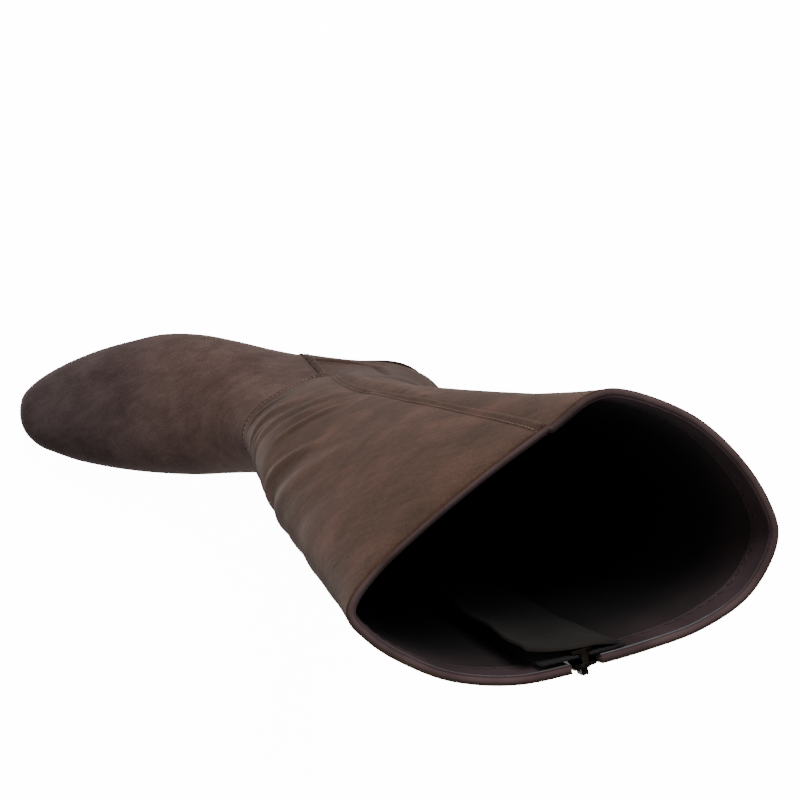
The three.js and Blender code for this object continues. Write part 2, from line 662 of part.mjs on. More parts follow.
// A plate of the slider: wide shoulders at the top, narrower at its foot.
function sliderPlate(low) {
  const half = SLIDER_WIDTH / 2;
  const end = SLIDER_LENGTH / 2;
  const shape = new THREE.Shape();
  shape.moveTo(-half * 0.72, -end);
  shape.lineTo(half * 0.72, -end);
  shape.lineTo(half * 0.8, -end * 0.2);
  shape.lineTo(half, end * 0.35);
  shape.absarc(half * 0.45, end - half * 0.55, half * 0.55, 0.15, Math.PI / 2, false);
  shape.absarc(-half * 0.45, end - half * 0.55, half * 0.55, Math.PI / 2, Math.PI - 0.15, false);
  shape.lineTo(-half, end * 0.35);
  shape.lineTo(-half * 0.8, -end * 0.2);
  const options = { depth: SLIDER_PLATE, bevelEnabled: false, curveSegments: 4 };
  return new THREE.ExtrudeGeometry(shape, options).translate(0, 0, low);
}

const PLATE_OUT = CHAIN_THICKNESS + GAP; // underside of the outer plate above the lining
const PLATE_IN = -TAPE_GAP - TAPE_THICKNESS - GAP - SLIDER_PLATE;
const BRIDGE_HOLE = 2;
const BRIDGE_WIDTH = 2.2;
const BRIDGE_WALL = 1;
const PIVOT_OUT = PLATE_OUT + SLIDER_PLATE + BRIDGE_HOLE / 2;
const PIVOT_UP = 1;

function makeSlider() {
  const outer = solid(sliderPlate(PLATE_OUT));
  const inner = solid(sliderPlate(PLATE_IN));
  const postDepth = PLATE_OUT - PLATE_IN;
  const post = solid(boxAt(2.2, 2.6, postDepth, 0, SLIDER_LENGTH / 2 - 1.5, (PLATE_OUT + PLATE_IN + SLIDER_PLATE) / 2));
  const bridgeLength = BRIDGE_HOLE + 2 * BRIDGE_WALL;
  const bridgeDepth = BRIDGE_HOLE + BRIDGE_WALL + SLIDER_PLATE / 2;
  const base = PLATE_OUT + SLIDER_PLATE / 2;
  const bridge = solid(boxAt(BRIDGE_WIDTH, bridgeLength, bridgeDepth, 0, PIVOT_UP, base + bridgeDepth / 2));
  const hole = solid(boxAt(BRIDGE_WIDTH * 2, BRIDGE_HOLE, BRIDGE_HOLE, 0, PIVOT_UP, PIVOT_OUT));
  return outer.add(inner).add(post).add(bridge.subtract(hole));
}

// The pull tab hangs from the bridge: a round bar through its hole, two arms and a plate with a rounded foot.
function makePull() {
  const bar = 1.2;
  const window = BRIDGE_WIDTH + 0.9;
  const windowLength = BRIDGE_HOLE / 2 + BRIDGE_WALL + 2;
  const half = PULL_WIDTH / 2;
  const shape = new THREE.Shape();
  shape.moveTo(-half, 0);
  shape.lineTo(-half, -PULL_LENGTH + half);
  shape.absarc(0, -PULL_LENGTH + half, half, Math.PI, 2 * Math.PI, false);
  shape.lineTo(half, 0);
  shape.lineTo(window / 2, 0);
  shape.lineTo(window / 2, -windowLength);
  shape.lineTo(-window / 2, -windowLength);
  shape.lineTo(-window / 2, 0);
  const options = { depth: bar, bevelEnabled: false, curveSegments: 10 };
  const arms = new THREE.ExtrudeGeometry(shape, options).translate(0, PIVOT_UP, PIVOT_OUT - bar / 2);
  const round = new THREE.CylinderGeometry(bar / 2, bar / 2, PULL_WIDTH, 16).rotateZ(Math.PI / 2);
  round.translate(0, PIVOT_UP, PIVOT_OUT);
  const thick = boxAt(PULL_WIDTH - 1, PULL_LENGTH * 0.55, PULL_THICKNESS * 1.5, 0, 0, 0);
  thick.translate(0, PIVOT_UP - PULL_LENGTH * 0.66, PIVOT_OUT + 0.15);
  return solid(arms).add(solid(round)).add(solid(thick));
}

function makeBottomStop() {
  return strip({
    from: zipPlace(SLOT_FOOT + 0.8),
    to: zipPlace(SLOT_FOOT + 3.3),
    front: CHAIN_WIDTH / 2 + 0.6,
    back: CHAIN_WIDTH / 2 + 0.6,
    outer: (place) => lining(place) + CHAIN_THICKNESS + 0.5,
    inner: (place) => lining(place),
    across: 2,
  });
}

function makeVamp() {
  const end = FOOT_SECTIONS.length + 9;
  return skin(() => 0, 0, end)
    .subtract(skin(() => -WALL, 1, end, 5, INNER_STEPS))
    .intersect(vampSide(GAP))
    .subtract(featherSlab(-TRIM * 3, GAP / 2));
}

// The leg and the quarter in one, lapping over the vamp: its front panel laps over the back one.
function makeLeg() {
  const start = FOOT_SECTIONS.length + 2;
  const inside = LEG_STEP - WALL;
  const fore = (turn) => turn > SEAM_TURN || turn < PANEL_TURN;
  const body = skin((turn) => LEG_STEP + (fore(turn) ? PANEL_STEP : 0), start, LAST_ROW);
  const far = FOOT_LENGTH;
  const facingFoot = ANKLE_RISE + LEG_HEIGHT - FACING_DEPTH;
  const under = sidePrism([
    [-far, -far],
    [far, -far],
    [far, facingFoot],
    [-far, facingFoot],
  ]);
  const hollow = skin(() => inside, start - 1, LAST_ROW, 5, INNER_STEPS);
  const mouth = skin(() => inside - FACING, start - 1, LAST_ROW, 5, INNER_STEPS);
  return body
    .subtract(hollow.intersect(under))
    .subtract(mouth)
    .subtract(vampSide(0))
    .subtract(featherSlab(-TRIM * 3, GAP / 2))
    .subtract(makeSlot());
}

// A mesh for the scene from a solid.
function mesh(name, made, color, roughness, metalness = 0) {
  const { vertProperties, triVerts, numProp } = made.getMesh();
  const position = new Float32Array((vertProperties.length / numProp) * 3);
  for (let n = 0; n < position.length / 3; n++)
    position.set(vertProperties.subarray(n * numProp, n * numProp + 3), n * 3);
  const geometry = new THREE.BufferGeometry();
  geometry.setAttribute("position", new THREE.BufferAttribute(position, 3));
  geometry.setIndex(new THREE.BufferAttribute(new Uint32Array(triVerts), 1));
  const material = new THREE.MeshStandardMaterial({ color, roughness, metalness });
  const one = new THREE.Mesh(geometry, material);
  one.name = name;
  return one;
}

const SUEDE = 0x4f3b35;
const LINING = 0x241a1a;
const METAL = 0x2b2826;

const boot = new THREE.Group();
boot.add(mesh("outsole", makeOutsole(), 0x1c1817, 0.6));
boot.add(mesh("heel_block", makeHeelBlock(), SUEDE, 0.95));
boot.add(mesh("heel_top_piece", makeTopPiece(), 0x161414, 0.7));
boot.add(mesh("insole", makeInsole(), LINING, 0.8));
boot.add(mesh("vamp", makeVamp(), SUEDE, 0.95));
boot.add(mesh("leg", makeLeg(), SUEDE, 0.95));
boot.add(mesh("zip_tape", makeTape(), 0x1a1718, 0.9));
boot.add(mesh("zip_chain", makeChain(), 0x1d1a1a, 0.6));
boot.add(mesh("zip_bottom_stop", makeBottomStop(), METAL, 0.35, 1));
boot.add(mesh("zip_guard", makeGuard(), 0x2a2726, 0.7));

// The slider and its tab stand in the slider's frame at the head of the zip.
const slider = mesh("zip_slider", makeSlider(), METAL, 0.35, 1);
const pull = mesh("zip_pull_tab", makePull(), METAL, 0.35, 1);
const head = new THREE.Group();
head.applyMatrix4(sliderFrame());
head.add(slider, pull);
boot.add(head);

export default boot;
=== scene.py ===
"""The right boot of a pair: knee high, dark brown suede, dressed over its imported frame."""

import logging
import math
from collections.abc import Callable
from dataclasses import dataclass, field
from enum import Enum
from functools import cached_property

import bmesh
import bpy
import numpy as np
from mathutils import Matrix, Vector


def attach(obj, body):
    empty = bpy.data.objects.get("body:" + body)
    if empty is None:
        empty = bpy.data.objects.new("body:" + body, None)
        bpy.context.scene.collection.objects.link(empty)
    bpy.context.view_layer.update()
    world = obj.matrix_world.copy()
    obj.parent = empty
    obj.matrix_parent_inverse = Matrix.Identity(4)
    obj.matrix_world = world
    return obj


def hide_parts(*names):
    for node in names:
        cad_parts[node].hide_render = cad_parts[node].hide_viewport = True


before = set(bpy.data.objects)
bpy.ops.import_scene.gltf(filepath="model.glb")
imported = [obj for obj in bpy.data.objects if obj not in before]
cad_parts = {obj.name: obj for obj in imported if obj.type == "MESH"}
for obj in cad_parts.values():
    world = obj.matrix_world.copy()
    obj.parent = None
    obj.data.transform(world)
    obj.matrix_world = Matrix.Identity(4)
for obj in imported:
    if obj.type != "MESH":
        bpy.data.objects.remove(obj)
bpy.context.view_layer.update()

LOG = logging.getLogger("boot")
Socket = bpy.types.NodeSocket
MM = 0.001
# Corners this near each other, in metres, become one.
WELD = 0.00002
RADIANS_ROUND = 6.283

# The last's sizes in millimetres, the same as the part's own.
FOOT_LENGTH = 260.0
HEEL_OVERHANG = 38.5
BALL_WIDTH = 88.0
HEEL_WIDTH = 66.0
SEAT_HEIGHT = 50.0
INSTEP_HEIGHT = 96.0
LEG_HEIGHT = 228.0
ANKLE_DEPTH = 102.0
ANKLE_WIDTH = 68.0
ANKLE_MIDDLE = 24.0
ANKLE_RISE = 200.0
COLLAR_DEPTH = 124.0
COLLAR_WIDTH = 82.0
COLLAR_SETBACK = 15.5
COLLAR_OUTSET = 7.0
TRIM = 13.0
SOLE_THICKNESS = 4.5
TOE_SPRING = 9.0
SEAT_FALL = 2.5
SEAT_FRONT = 20.0
TREAD_BACK = 118.0
TREAD_FRONT = 160.0
# The outer seam's turn along the sections: it swings forward over the ankle to the vamp's corner.
SEAM_PLACES = (15.2, 15.7, 16.4, 17.2, 18.2, 19.5, 20.6)
SEAM_TURNS = (301.0, 296.0, 291.5, 288.0, 284.0, 281.0, 280.0)

# Sections of the foot from the toe back: along, top, trim, inner, outer, crest, belly, crown, keel.
FOOT_SECTIONS = (
    (0.9985, 0.055, 0.25, 0.05, 0.035, 0.025, 0.5, 2, 2),
    (0.994, 0.105, 0.6, 0.12, 0.078, 0.025, 0.5, 2.1, 2.4),
    (0.98, 0.18, 1, 0.195, 0.135, 0.02, 0.5, 2.2, 2.8),
    (0.952, 0.252, 1, 0.27, 0.208, 0.018, 0.54, 2.3, 3),
    (0.913, 0.318, 1, 0.322, 0.282, 0.018, 0.57, 2.3, 3),
    (0.863, 0.384, 1, 0.376, 0.355, 0.022, 0.6, 2.25, 3),
    (0.802, 0.455, 1, 0.416, 0.424, 0.03, 0.62, 2.2, 3),
    (0.733, 0.548, 1, 0.446, 0.481, 0.038, 0.65, 2.1, 3),
    (0.656, 0.662, 1, 0.464, 0.53, 0.045, 0.68, 2, 3),
)
# Sections that turn about the front of the ankle: front along and rise, back along and rise, then as above.
TURN_SECTIONS = (
    (0.586, 0.34, 0.56, -0.545, 0.46, 0.53, 0.045, 0.7, 1.95, 3),
    (0.535, 0.505, 0.46, -0.43, 0.425, 0.49, 0.04, 0.68, 1.95, 3),
    (0.499, 0.66, 0.36, -0.29, 0.39, 0.442, 0.034, 0.64, 1.95, 3),
    (0.476, 0.79, 0.255, -0.175, 0.373, 0.405, 0.028, 0.61, 1.95, 2.9),
    (0.461, 0.9, 0.155, -0.15, 0.365, 0.38, 0.022, 0.59, 1.95, 2.8),
    (0.452, 0.99, 0.075, -0.13, 0.362, 0.366, 0.02, 0.58, 1.95, 2.7),
    (0.446, 1.07, 0.022, -0.06, 0.362, 0.358, 0.02, 0.58, 1.95, 2.6),
    (0.442, 1.14, 0.003, 0.11, 0.364, 0.354, 0.022, 0.57, 1.95, 2.5),
    (0.439, 1.21, 0, 0.32, 0.366, 0.354, 0.026, 0.56, 2, 2.35),
    (0.437, 1.28, 0.014, 0.57, 0.37, 0.356, 0.03, 0.55, 2, 2.2),
    (0.435, 1.36, 0.034, 0.82, 0.376, 0.36, 0.038, 0.53, 2, 2.1),
    (0.432, 1.46, 0.042, 1.09, 0.38, 0.363, 0.046, 0.52, 2, 2.05),
    (0.4265, 1.6, 0.037, 1.39, 0.383, 0.367, 0.058, 0.51, 2, 2),
)
# Sections of the leg: up, front, back, inner, outer, crest, tilt, leaf.
LEG_SECTIONS = (
    (0.12, 0.454, 0.56, 0.5, 0.48, 0.1, 0.14, 0.02),
    (0.21, 0.438, 0.605, 0.515, 0.485, 0.125, 0.05, 0.05),
    (0.32, 0.415, 0.66, 0.535, 0.5, 0.15, 0, 0.1),
    (0.46, 0.382, 0.73, 0.555, 0.515, 0.165, 0, 0.17),
    (0.62, 0.343, 0.805, 0.57, 0.535, 0.17, 0, 0.28),
    (0.78, 0.3, 0.88, 0.57, 0.555, 0.18, 0, 0.44),
    (0.92, 0.26, 0.945, 0.56, 0.585, 0.19, 0, 0.72),
    (1, 0.235, 1, 0.55, 0.62, 0.19, 0, 1),
)
# The collar's outline: turn in degrees from the front over the inner side, fore and side.
COLLAR_OUTLINE = (
    (0, 0.5, 0.233),
    (20, 0.464, 0.315),
    (40, 0.385, 0.399),
    (60, 0.266, 0.474),
    (80, 0.115, 0.495),
    (100, -0.044, 0.452),
    (120, -0.194, 0.396),
    (140, -0.329, 0.325),
    (160, -0.44, 0.208),
    (180, -0.5, 0.024),
    (200, -0.472, -0.125),
    (220, -0.393, -0.286),
    (240, -0.282, -0.423),
    (260, -0.131, -0.509),
    (270, -0.042, -0.496),
    (280, 0.052, -0.387),
    (300, 0.202, -0.22),
    (320, 0.345, -0.042),
    (340, 0.452, 0.113),
)
# The heel from the floor up: share of its height, back, breast, half width.
HEEL_SECTIONS = (
    (0, 0.43, 0.3, 0.405),
    (0.25, 0.435, 0.29, 0.4),
    (0.5, 0.455, 0.295, 0.41),
    (0.75, 0.495, 0.33, 0.445),
    (1, 0.555, 0.4, 0.49),
    (1.15, 0.565, 0.42, 0.5),
)
# The seam between vamp and leg, and the zip's middle line, in the side view: ahead, rise.
VAMP_LINE = (
    (0.2, -1.2),
    (0.192, -0.2),
    (0.175, 0.25),
    (0.152, 0.6),
    (0.15, 0.73),
    (0.185, 0.8),
    (0.23, 0.87),
    (0.28, 0.93),
    (0.5, 1.1),
)
ZIP_LINE = (
    (0.066, -0.2),
    (0.066, 0.25),
    (0.066, 0.8),
    (0.06, 1.3),
    (0.035, 1.9),
    (-0.01, 2.7),
    (-0.055, 3.45),
    (-0.0865, 4),
)
# The column of a section that says how much of the collar's outline it takes on.
LEAF = 10
# The section from which the leg can begin, and the lowest level that all its columns share.
LEG_START = 11.0
LEVELS_START = 11.6
# Height between the last two sections.
TOP_SPAN = 0.08 * LEG_HEIGHT
# The upper's edges stand this far over the feather line.
EDGE_RISE = 0.15


def through(a: np.ndarray, b: np.ndarray, c: np.ndarray, d: np.ndarray, s: np.ndarray) -> np.ndarray:
    """Smooth curve through four values in a row.

    Args:
        a, b, c, d: The four values.
        s: Share of the way from b to c.

    Returns:
        The curve's value there.
    """
    return 0.5 * (2 * b + (c - a) * s + (2 * a - 5 * b + 4 * c - d) * s**2 + (3 * b - a - 3 * c + d) * s**3)


def ease(share: np.ndarray) -> np.ndarray:
    """A share from 0 to 1 that starts and ends gently."""
    held = np.clip(share, 0, 1)
    return held**2 * (3 - 2 * held)


def smooth_line(points: np.ndarray, count: int) -> np.ndarray:
    """Points on one smooth curve through the given ones.

    Args:
        points: The curve's own points, one a row.
        count: How many to return.

    Returns:
        That many rows, from the first point to the last.
    """
    last = len(points) - 1
    p = np.linspace(0, last, count)
    k = np.minimum(p.astype(int), last - 1)
    near = [points[np.clip(k + n, 0, last)] for n in (-1, 0, 1, 2)]
    return through(*near, (p - k)[:, None])


def halve(
    low: np.ndarray, high: np.ndarray, test: Callable[[np.ndarray], np.ndarray], rounds: int = 24
) -> tuple[np.ndarray, np.ndarray]:
    """Closes in on where a test changes its answer.

    Args:
        low, high: Values between which it changes.
        test: Whether each value still lies on the side of low.
        rounds: How often the span between them is halved.

    Returns:
        The last values found on the side of low, and on the side of high.
    """
    for _ in range(rounds):
        mid = (low + high) / 2
        near = test(mid)
        low, high = np.where(near, mid, low), np.where(near, high, mid)
    return low, high


def bell(value: np.ndarray, middle: float, width: float) -> np.ndarray:
    """A bell curve that is 1 at its middle and 0.37 at its width."""
    return np.exp(-(((value - middle) / width) ** 2))


def gone_along(points: np.ndarray) -> np.ndarray:
    """How far each point lies along its row, from 0 at the first."""
    steps = np.linalg.norm(np.diff(points, axis=-2), axis=-1)
    return np.insert(np.cumsum(steps, axis=-1), 0, 0.0, axis=-1)


class Last:
    """The boot's outside form: sections from the toe to the collar, in millimetres."""

    def __init__(self) -> None:
        """Turns the three tables of sections into one."""
        rows = []
        for along, top, trim, inner, outer, crest, *form in FOOT_SECTIONS:
            x = along * FOOT_LENGTH - HEEL_OVERHANG
            base = float(self.feather(np.array(x)))
            ends = (x, base + top * INSTEP_HEIGHT, x, base - trim * TRIM)
            rows.append((*ends, inner * BALL_WIDTH, outer * BALL_WIDTH, crest * BALL_WIDTH, *form, 0))
        for fore, high, aft, low, inner, outer, crest, *form in TURN_SECTIONS:
            front = (fore * FOOT_LENGTH - HEEL_OVERHANG, SEAT_HEIGHT + high * INSTEP_HEIGHT)
            back = (aft * FOOT_LENGTH - HEEL_OVERHANG, SEAT_HEIGHT + low * INSTEP_HEIGHT)
            rows.append((*front, *back, inner * BALL_WIDTH, outer * BALL_WIDTH, crest * BALL_WIDTH, *form, 0))
        for up, fore, aft, inner, outer, crest, tilt, leaf in LEG_SECTIONS:
            z = ANKLE_RISE + up * LEG_HEIGHT
            lean = tilt * ANKLE_DEPTH / 2
            front = (ANKLE_MIDDLE + fore * ANKLE_DEPTH, z + lean)
            back = (ANKLE_MIDDLE - aft * ANKLE_DEPTH, z - lean)
            sides = (inner * ANKLE_WIDTH, outer * ANKLE_WIDTH, crest * ANKLE_WIDTH)
            rows.append((*front, *back, *sides, 0.5, 2, 2, leaf))
        self.rows = np.array(rows, dtype=float)
        self.top = len(rows) - 1

    @staticmethod
    def feather(x: np.ndarray) -> np.ndarray:
        """Height of the feather line, where upper and sole meet.

        Args:
            x: Places along the shoe.

        Returns:
            The height at each.
        """
        x = np.asarray(x, dtype=float)
        seat = SEAT_HEIGHT - SEAT_FALL * (x + HEEL_OVERHANG) / (SEAT_FRONT + HEEL_OVERHANG)
        reach = FOOT_LENGTH - HEEL_OVERHANG - TREAD_FRONT
        toe = SOLE_THICKNESS + TOE_SPRING * (np.maximum(x - TREAD_FRONT, 0) / reach) ** 2
        span = TREAD_BACK - SEAT_FRONT
        s = np.clip((x - SEAT_FRONT) / span, 0, 1)
        slope = -SEAT_FALL / (SEAT_FRONT + HEEL_OVERHANG) * span * 2.5
        arch = (SEAT_HEIGHT - SEAT_FALL) * (2 * s**3 - 3 * s**2 + 1) + slope * (s**3 - 2 * s**2 + s)
        arch = arch + SOLE_THICKNESS * (3 * s**2 - 2 * s**3)
        return np.where(x <= SEAT_FRONT, seat, np.where(x >= TREAD_BACK, toe, arch))

    def section(self, place: np.ndarray) -> np.ndarray:
        """Sizes of the section at each place between rows."""
        p = np.clip(place, 0, self.top)
        k = np.minimum(p.astype(int), self.top - 1)
        s = (p - k)[..., None]
        a, b, c, d = (self.rows[np.clip(k + n, 0, self.top)] for n in (-1, 0, 1, 2))
        sizes = through(a, b, c, d, s)
        sizes[..., LEAF] = np.clip(b[..., LEAF] + (c - b)[..., LEAF] * s[..., 0], 0, 1)
        return sizes

    def collar(self, turn: np.ndarray) -> np.ndarray:
        """Fore and side of the collar's outline at each turn."""
        table = np.array(COLLAR_OUTLINE, dtype=float)
        count = len(table)
        around = np.mod(turn, 360)
        k = np.searchsorted(table[:, 0], around, side="right") - 1
        ends = np.append(table[1:, 0], 360.0)
        s = ((around - table[k, 0]) / (ends[k] - table[k, 0]))[..., None]
        a, b, c, d = (table[(k + n) % count, 1:] for n in (-1, 0, 1, 2))
        return through(a, b, c, d, s) * (COLLAR_DEPTH, COLLAR_WIDTH) - (COLLAR_SETBACK, COLLAR_OUTSET)

    def surface(self, place: np.ndarray, turn: np.ndarray) -> np.ndarray:
        """Points of the boot's outside.

        Args:
            place: How far along the sections, from the toe to the collar.
            turn: Degrees round them from the front over the inner side.

        Returns:
            One point for each, in millimetres.
        """
        place, turn = np.broadcast_arrays(np.asarray(place, float), np.asarray(turn, float))
        q = np.moveaxis(self.section(place), -1, 0)
        front_x, front_z, back_x, back_z, inner, outer, crest, belly, crown, keel, leaf = q
        c, s = np.cos(np.radians(turn)), np.sin(np.radians(turn))
        power = 2 / np.where(c >= 0, crown, keel)
        reach = np.abs(c) ** power
        share = np.where(c >= 0, belly * (1 - reach), belly + (1 - belly) * reach)
        side = np.sign(s) * np.abs(s) ** power * np.where(s >= 0, inner, outer)
        side = side + crest * np.maximum(0, 1 - share / belly)
        x = front_x + (back_x - front_x) * share
        z = front_z + (back_z - front_z) * share
        collar = self.collar(turn)
        x = x + (collar[..., 0] - x) * leaf
        side = side + (collar[..., 1] - side) * leaf
        return np.stack((x, side, z), axis=-1)

    def normal(self, place: np.ndarray, turn: np.ndarray) -> np.ndarray:
        """Unit normals there, pointing outwards."""
        ahead = self.surface(np.minimum(place + 0.05, self.top), turn)
        along = ahead - self.surface(np.maximum(place - 0.05, 0), turn)
        around = self.surface(place, turn + 1.5) - self.surface(place, turn - 1.5)
        cross = np.cross(around, along)
        return cross / np.linalg.norm(cross, axis=-1, keepdims=True)

    def pushed(self, place: np.ndarray, turn: np.ndarray, depth: np.ndarray) -> np.ndarray:
        """Points of the outside moved along their normals by a depth."""
        return self.surface(place, turn) + self.normal(place, turn) * np.asarray(depth)[..., None]

    def at_height(self, turn: np.ndarray, height: np.ndarray) -> np.ndarray:
        """Places at which the outside is at a height, for turns on the leg."""
        low = np.full(np.shape(turn), LEG_START)
        high = np.full(np.shape(turn), float(self.top))
        return halve(low, high, lambda mid: self.surface(mid, turn)[..., 2] <= height)[0]

    def over_vamp(self, points: np.ndarray, shift: float = 0.0) -> np.ndarray:
        """Whether points lie ahead of the seam between vamp and leg, moved ahead by shift."""
        line = np.array(VAMP_LINE) * (FOOT_LENGTH, INSTEP_HEIGHT) + (shift, SEAT_HEIGHT - shift)
        seam = np.interp(points[..., 2], line[:, 1], line[:, 0])
        return (points[..., 0] > seam) & (points[..., 2] < line[-1, 1])


def outer_seam(place: np.ndarray) -> np.ndarray:
    """Turn of the leg's outer seam at each place."""
    return np.interp(place, SEAM_PLACES, SEAM_TURNS)


class ZipLine:
    """Where the zip runs on the leg's inner side."""

    def __init__(self, last: Last) -> None:
        """Finds the zip's turn, and the width of a degree, all along it."""
        self.last = last
        line = np.array(ZIP_LINE) * (FOOT_LENGTH, INSTEP_HEIGHT) + (0, SEAT_HEIGHT)
        dense = smooth_line(line, 400)
        self.places = np.linspace(10, last.top, 500)

        def ahead(turn: np.ndarray) -> np.ndarray:
            point = last.surface(self.places, turn)
            return point[:, 0] > np.interp(point[:, 2], dense[:, 1], dense[:, 0])

        self.turns = halve(np.full(500, 30.0), np.full(500, 170.0), ahead)[0]
        span = last.surface(self.places, self.turns + 1) - last.surface(self.places, self.turns - 1)
        self.degree = np.linalg.norm(span, axis=-1) / 2
        self.heights = last.surface(self.places, self.turns)[:, 2]

    def turn(self, place: np.ndarray, side: np.ndarray) -> np.ndarray:
        """The turn at a distance from the zip's middle, positive towards the front."""
        middle = np.interp(place, self.places, self.turns)
        return middle - side / np.interp(place, self.places, self.degree)

    def height(self, place: np.ndarray) -> np.ndarray:
        """Height of the zip's middle above the floor."""
        return np.interp(place, self.places, self.heights)

    def place(self, height: float) -> float:
        """The place at which the zip's middle is at a height above the floor."""
        return float(np.interp(height, self.heights, self.places))


@dataclass(frozen=True)
class Fold:
    """A crease or ridge laid on the leg.

    Attributes:
        path: Its course, each point a turn in degrees and a height over the floor in millimetres.
        width: Half its width in millimetres.
        lift: How far it stands up, or sinks in where negative.
        edge: Share of the lift that comes back as a shoulder on each side.
    """

    path: tuple[tuple[float, float], ...]
    width: float
    lift: float
    edge: float = 0.3

    def relief(self, last: Last, points: np.ndarray) -> np.ndarray:
        """How far it moves each point along its normal, in millimetres."""
        turns, heights = np.array(self.path).T
        turns = np.unwrap(turns, period=360)
        course = last.surface(last.at_height(turns, heights), turns)
        course = smooth_line(course, 48)
        moved = np.zeros(len(points))
        reach = self.width * 4
        low, high = course.min(axis=0) - reach, course.max(axis=0) + reach
        near = np.flatnonzero(((points > low) & (points < high)).all(axis=1))
        if not len(near):
            return moved
        apart = np.linalg.norm(points[near, None, :] - course[None, :, :], axis=-1)
        closest = apart.argmin(axis=1)
        distance = apart.min(axis=1) / self.width
        share = closest / (len(course) - 1)
        taper = np.sin(np.pi * np.clip(share, 0.02, 0.98)) ** 0.6
        bell = np.exp(-(distance**2)) - self.edge * np.exp(-((distance - 1.9) ** 2) / 0.6)
        moved[near] = self.lift * taper * bell
        return moved


def linear(code: str) -> tuple[float, float, float, float]:
    """The linear colour of an sRGB hex value such as 6a4e45."""
    parts = [int(code[n : n + 2], 16) / 255 for n in (0, 2, 4)]
    red, green, blue = (p / 12.92 if p <= 0.04045 else ((p + 0.055) / 1.055) ** 2.4 for p in parts)
    return red, green, blue, 1.0


class Paint:
    """A material in the making, to which each method adds a node."""

    def __init__(self, name: str) -> None:
        """Starts a material with no nodes but its output."""
        self.material = bpy.data.materials.new(name)
        self.material.use_nodes = True
        self.tree = self.material.node_tree
        self.tree.nodes.clear()
        self.surface = self.add("OutputMaterial").inputs["Surface"]

    def add(
        self, kind: str, values: dict | None = None, links: dict | None = None, **settings: object
    ) -> bpy.types.Node:
        """Adds a node.

        Args:
            kind: The node's type name, without its ShaderNode.
            values: What its own sockets are set to, by name or number.
            links: The outputs that feed its sockets, by name or number.
            **settings: The node's other settings.

        Returns:
            The new node.
        """
        made = self.tree.nodes.new(f"ShaderNode{kind}")
        for name, value in settings.items():
            setattr(made, name, value)
        for name, value in (values or {}).items():
            made.inputs[name].default_value = value
        for name, source in (links or {}).items():
            self.tree.links.new(source, made.inputs[name])
        return made

    @cached_property
    def place(self) -> Socket:
        """The object's own coordinates."""
        return self.add("TexCoord").outputs["Object"]

    def axis(self, number: int) -> Socket:
        """One of the object's own coordinates, counted from 0."""
        return self.add("SeparateXYZ", links={0: self.place}).outputs[number]

    def noise(
        self,
        scale: float,
        detail: float,
        roughness: float = 0.5,
        swirl: float = 0.0,
        where: Socket | None = None,
    ) -> Socket:
        """Cloudy patches.

        Args:
            scale: How many to a metre.
            detail: How many finer layers they have.
            roughness: How strongly those show.
            swirl: How far the patches are drawn about.
            where: The coordinates that they follow, if not the object's own.

        Returns:
            Their value.
        """
        values = {"Scale": scale, "Detail": detail, "Roughness": roughness, "Distortion": swirl}
        return self.add("TexNoise", values, {"Vector": self.place if where is None else where}).outputs["Fac"]

    def spread(
        self,
        value: Socket,
        given: tuple[float, float] = (0.0, 1.0),
        wanted: tuple[float, float] = (0.0, 1.0),
        way: str = "LINEAR",
    ) -> Socket:
        """Carries a value over from the range given to the range wanted."""
        ends = dict(zip(("From Min", "From Max", "To Min", "To Max"), given + wanted, strict=True))
        return self.add("MapRange", ends, {"Value": value}, interpolation_type=way).outputs[0]

    def ramp(self, source: Socket, *stops: tuple[float, str]) -> Socket:
        """Turns a value into a colour, by stops that each have a position and an sRGB hex colour."""
        made = self.add("ValToRGB", links={"Fac": source})
        while len(made.color_ramp.elements) < len(stops):
            made.color_ramp.elements.new(1.0)
        for element, (position, code) in zip(made.color_ramp.elements, stops, strict=True):
            element.position = position
            element.color = linear(code)
        return made.outputs["Color"]

    def multiply(self, share: Socket | float, colour: Socket, other: Socket | tuple) -> Socket:
        """Multiplies a colour by another, in full or by a share."""
        values: dict = {}
        links: dict = {6: colour}
        (values if isinstance(share, float) else links)[0] = share
        (values if isinstance(other, tuple) else links)[7] = other
        return self.add("Mix", values, links, data_type="RGBA", blend_type="MULTIPLY").outputs[2]

    def lighten(self, colour: Socket, by: Socket) -> Socket:
        """Multiplies a colour by a number's output."""
        grey = self.add("CombineColor", links={0: by, 1: by, 2: by}).outputs[0]
        return self.multiply(1.0, colour, grey)

    def bump(self, height: Socket, strength: float, depth: float, under: Socket | None = None) -> Socket:
        """A fine relief as deep as depth, in metres, laid over another one where that is given."""
        links = {"Height": height} if under is None else {"Height": height, "Normal": under}
        return self.add("Bump", {"Strength": strength, "Distance": depth}, links).outputs[0]

    def shade(self, values: dict, links: dict) -> bpy.types.Material:
        """Ends the material with its shader, and returns it."""
        shader = self.add("BsdfPrincipled", values, links)
        self.tree.links.new(shader.outputs[0], self.surface)
        return self.material


class Nap(Enum):
    """Which way the suede's nap was brushed."""

    LEG = (-0.35, -0.6, 0.72)
    FOOT = (-0.75, -0.5, 0.2)


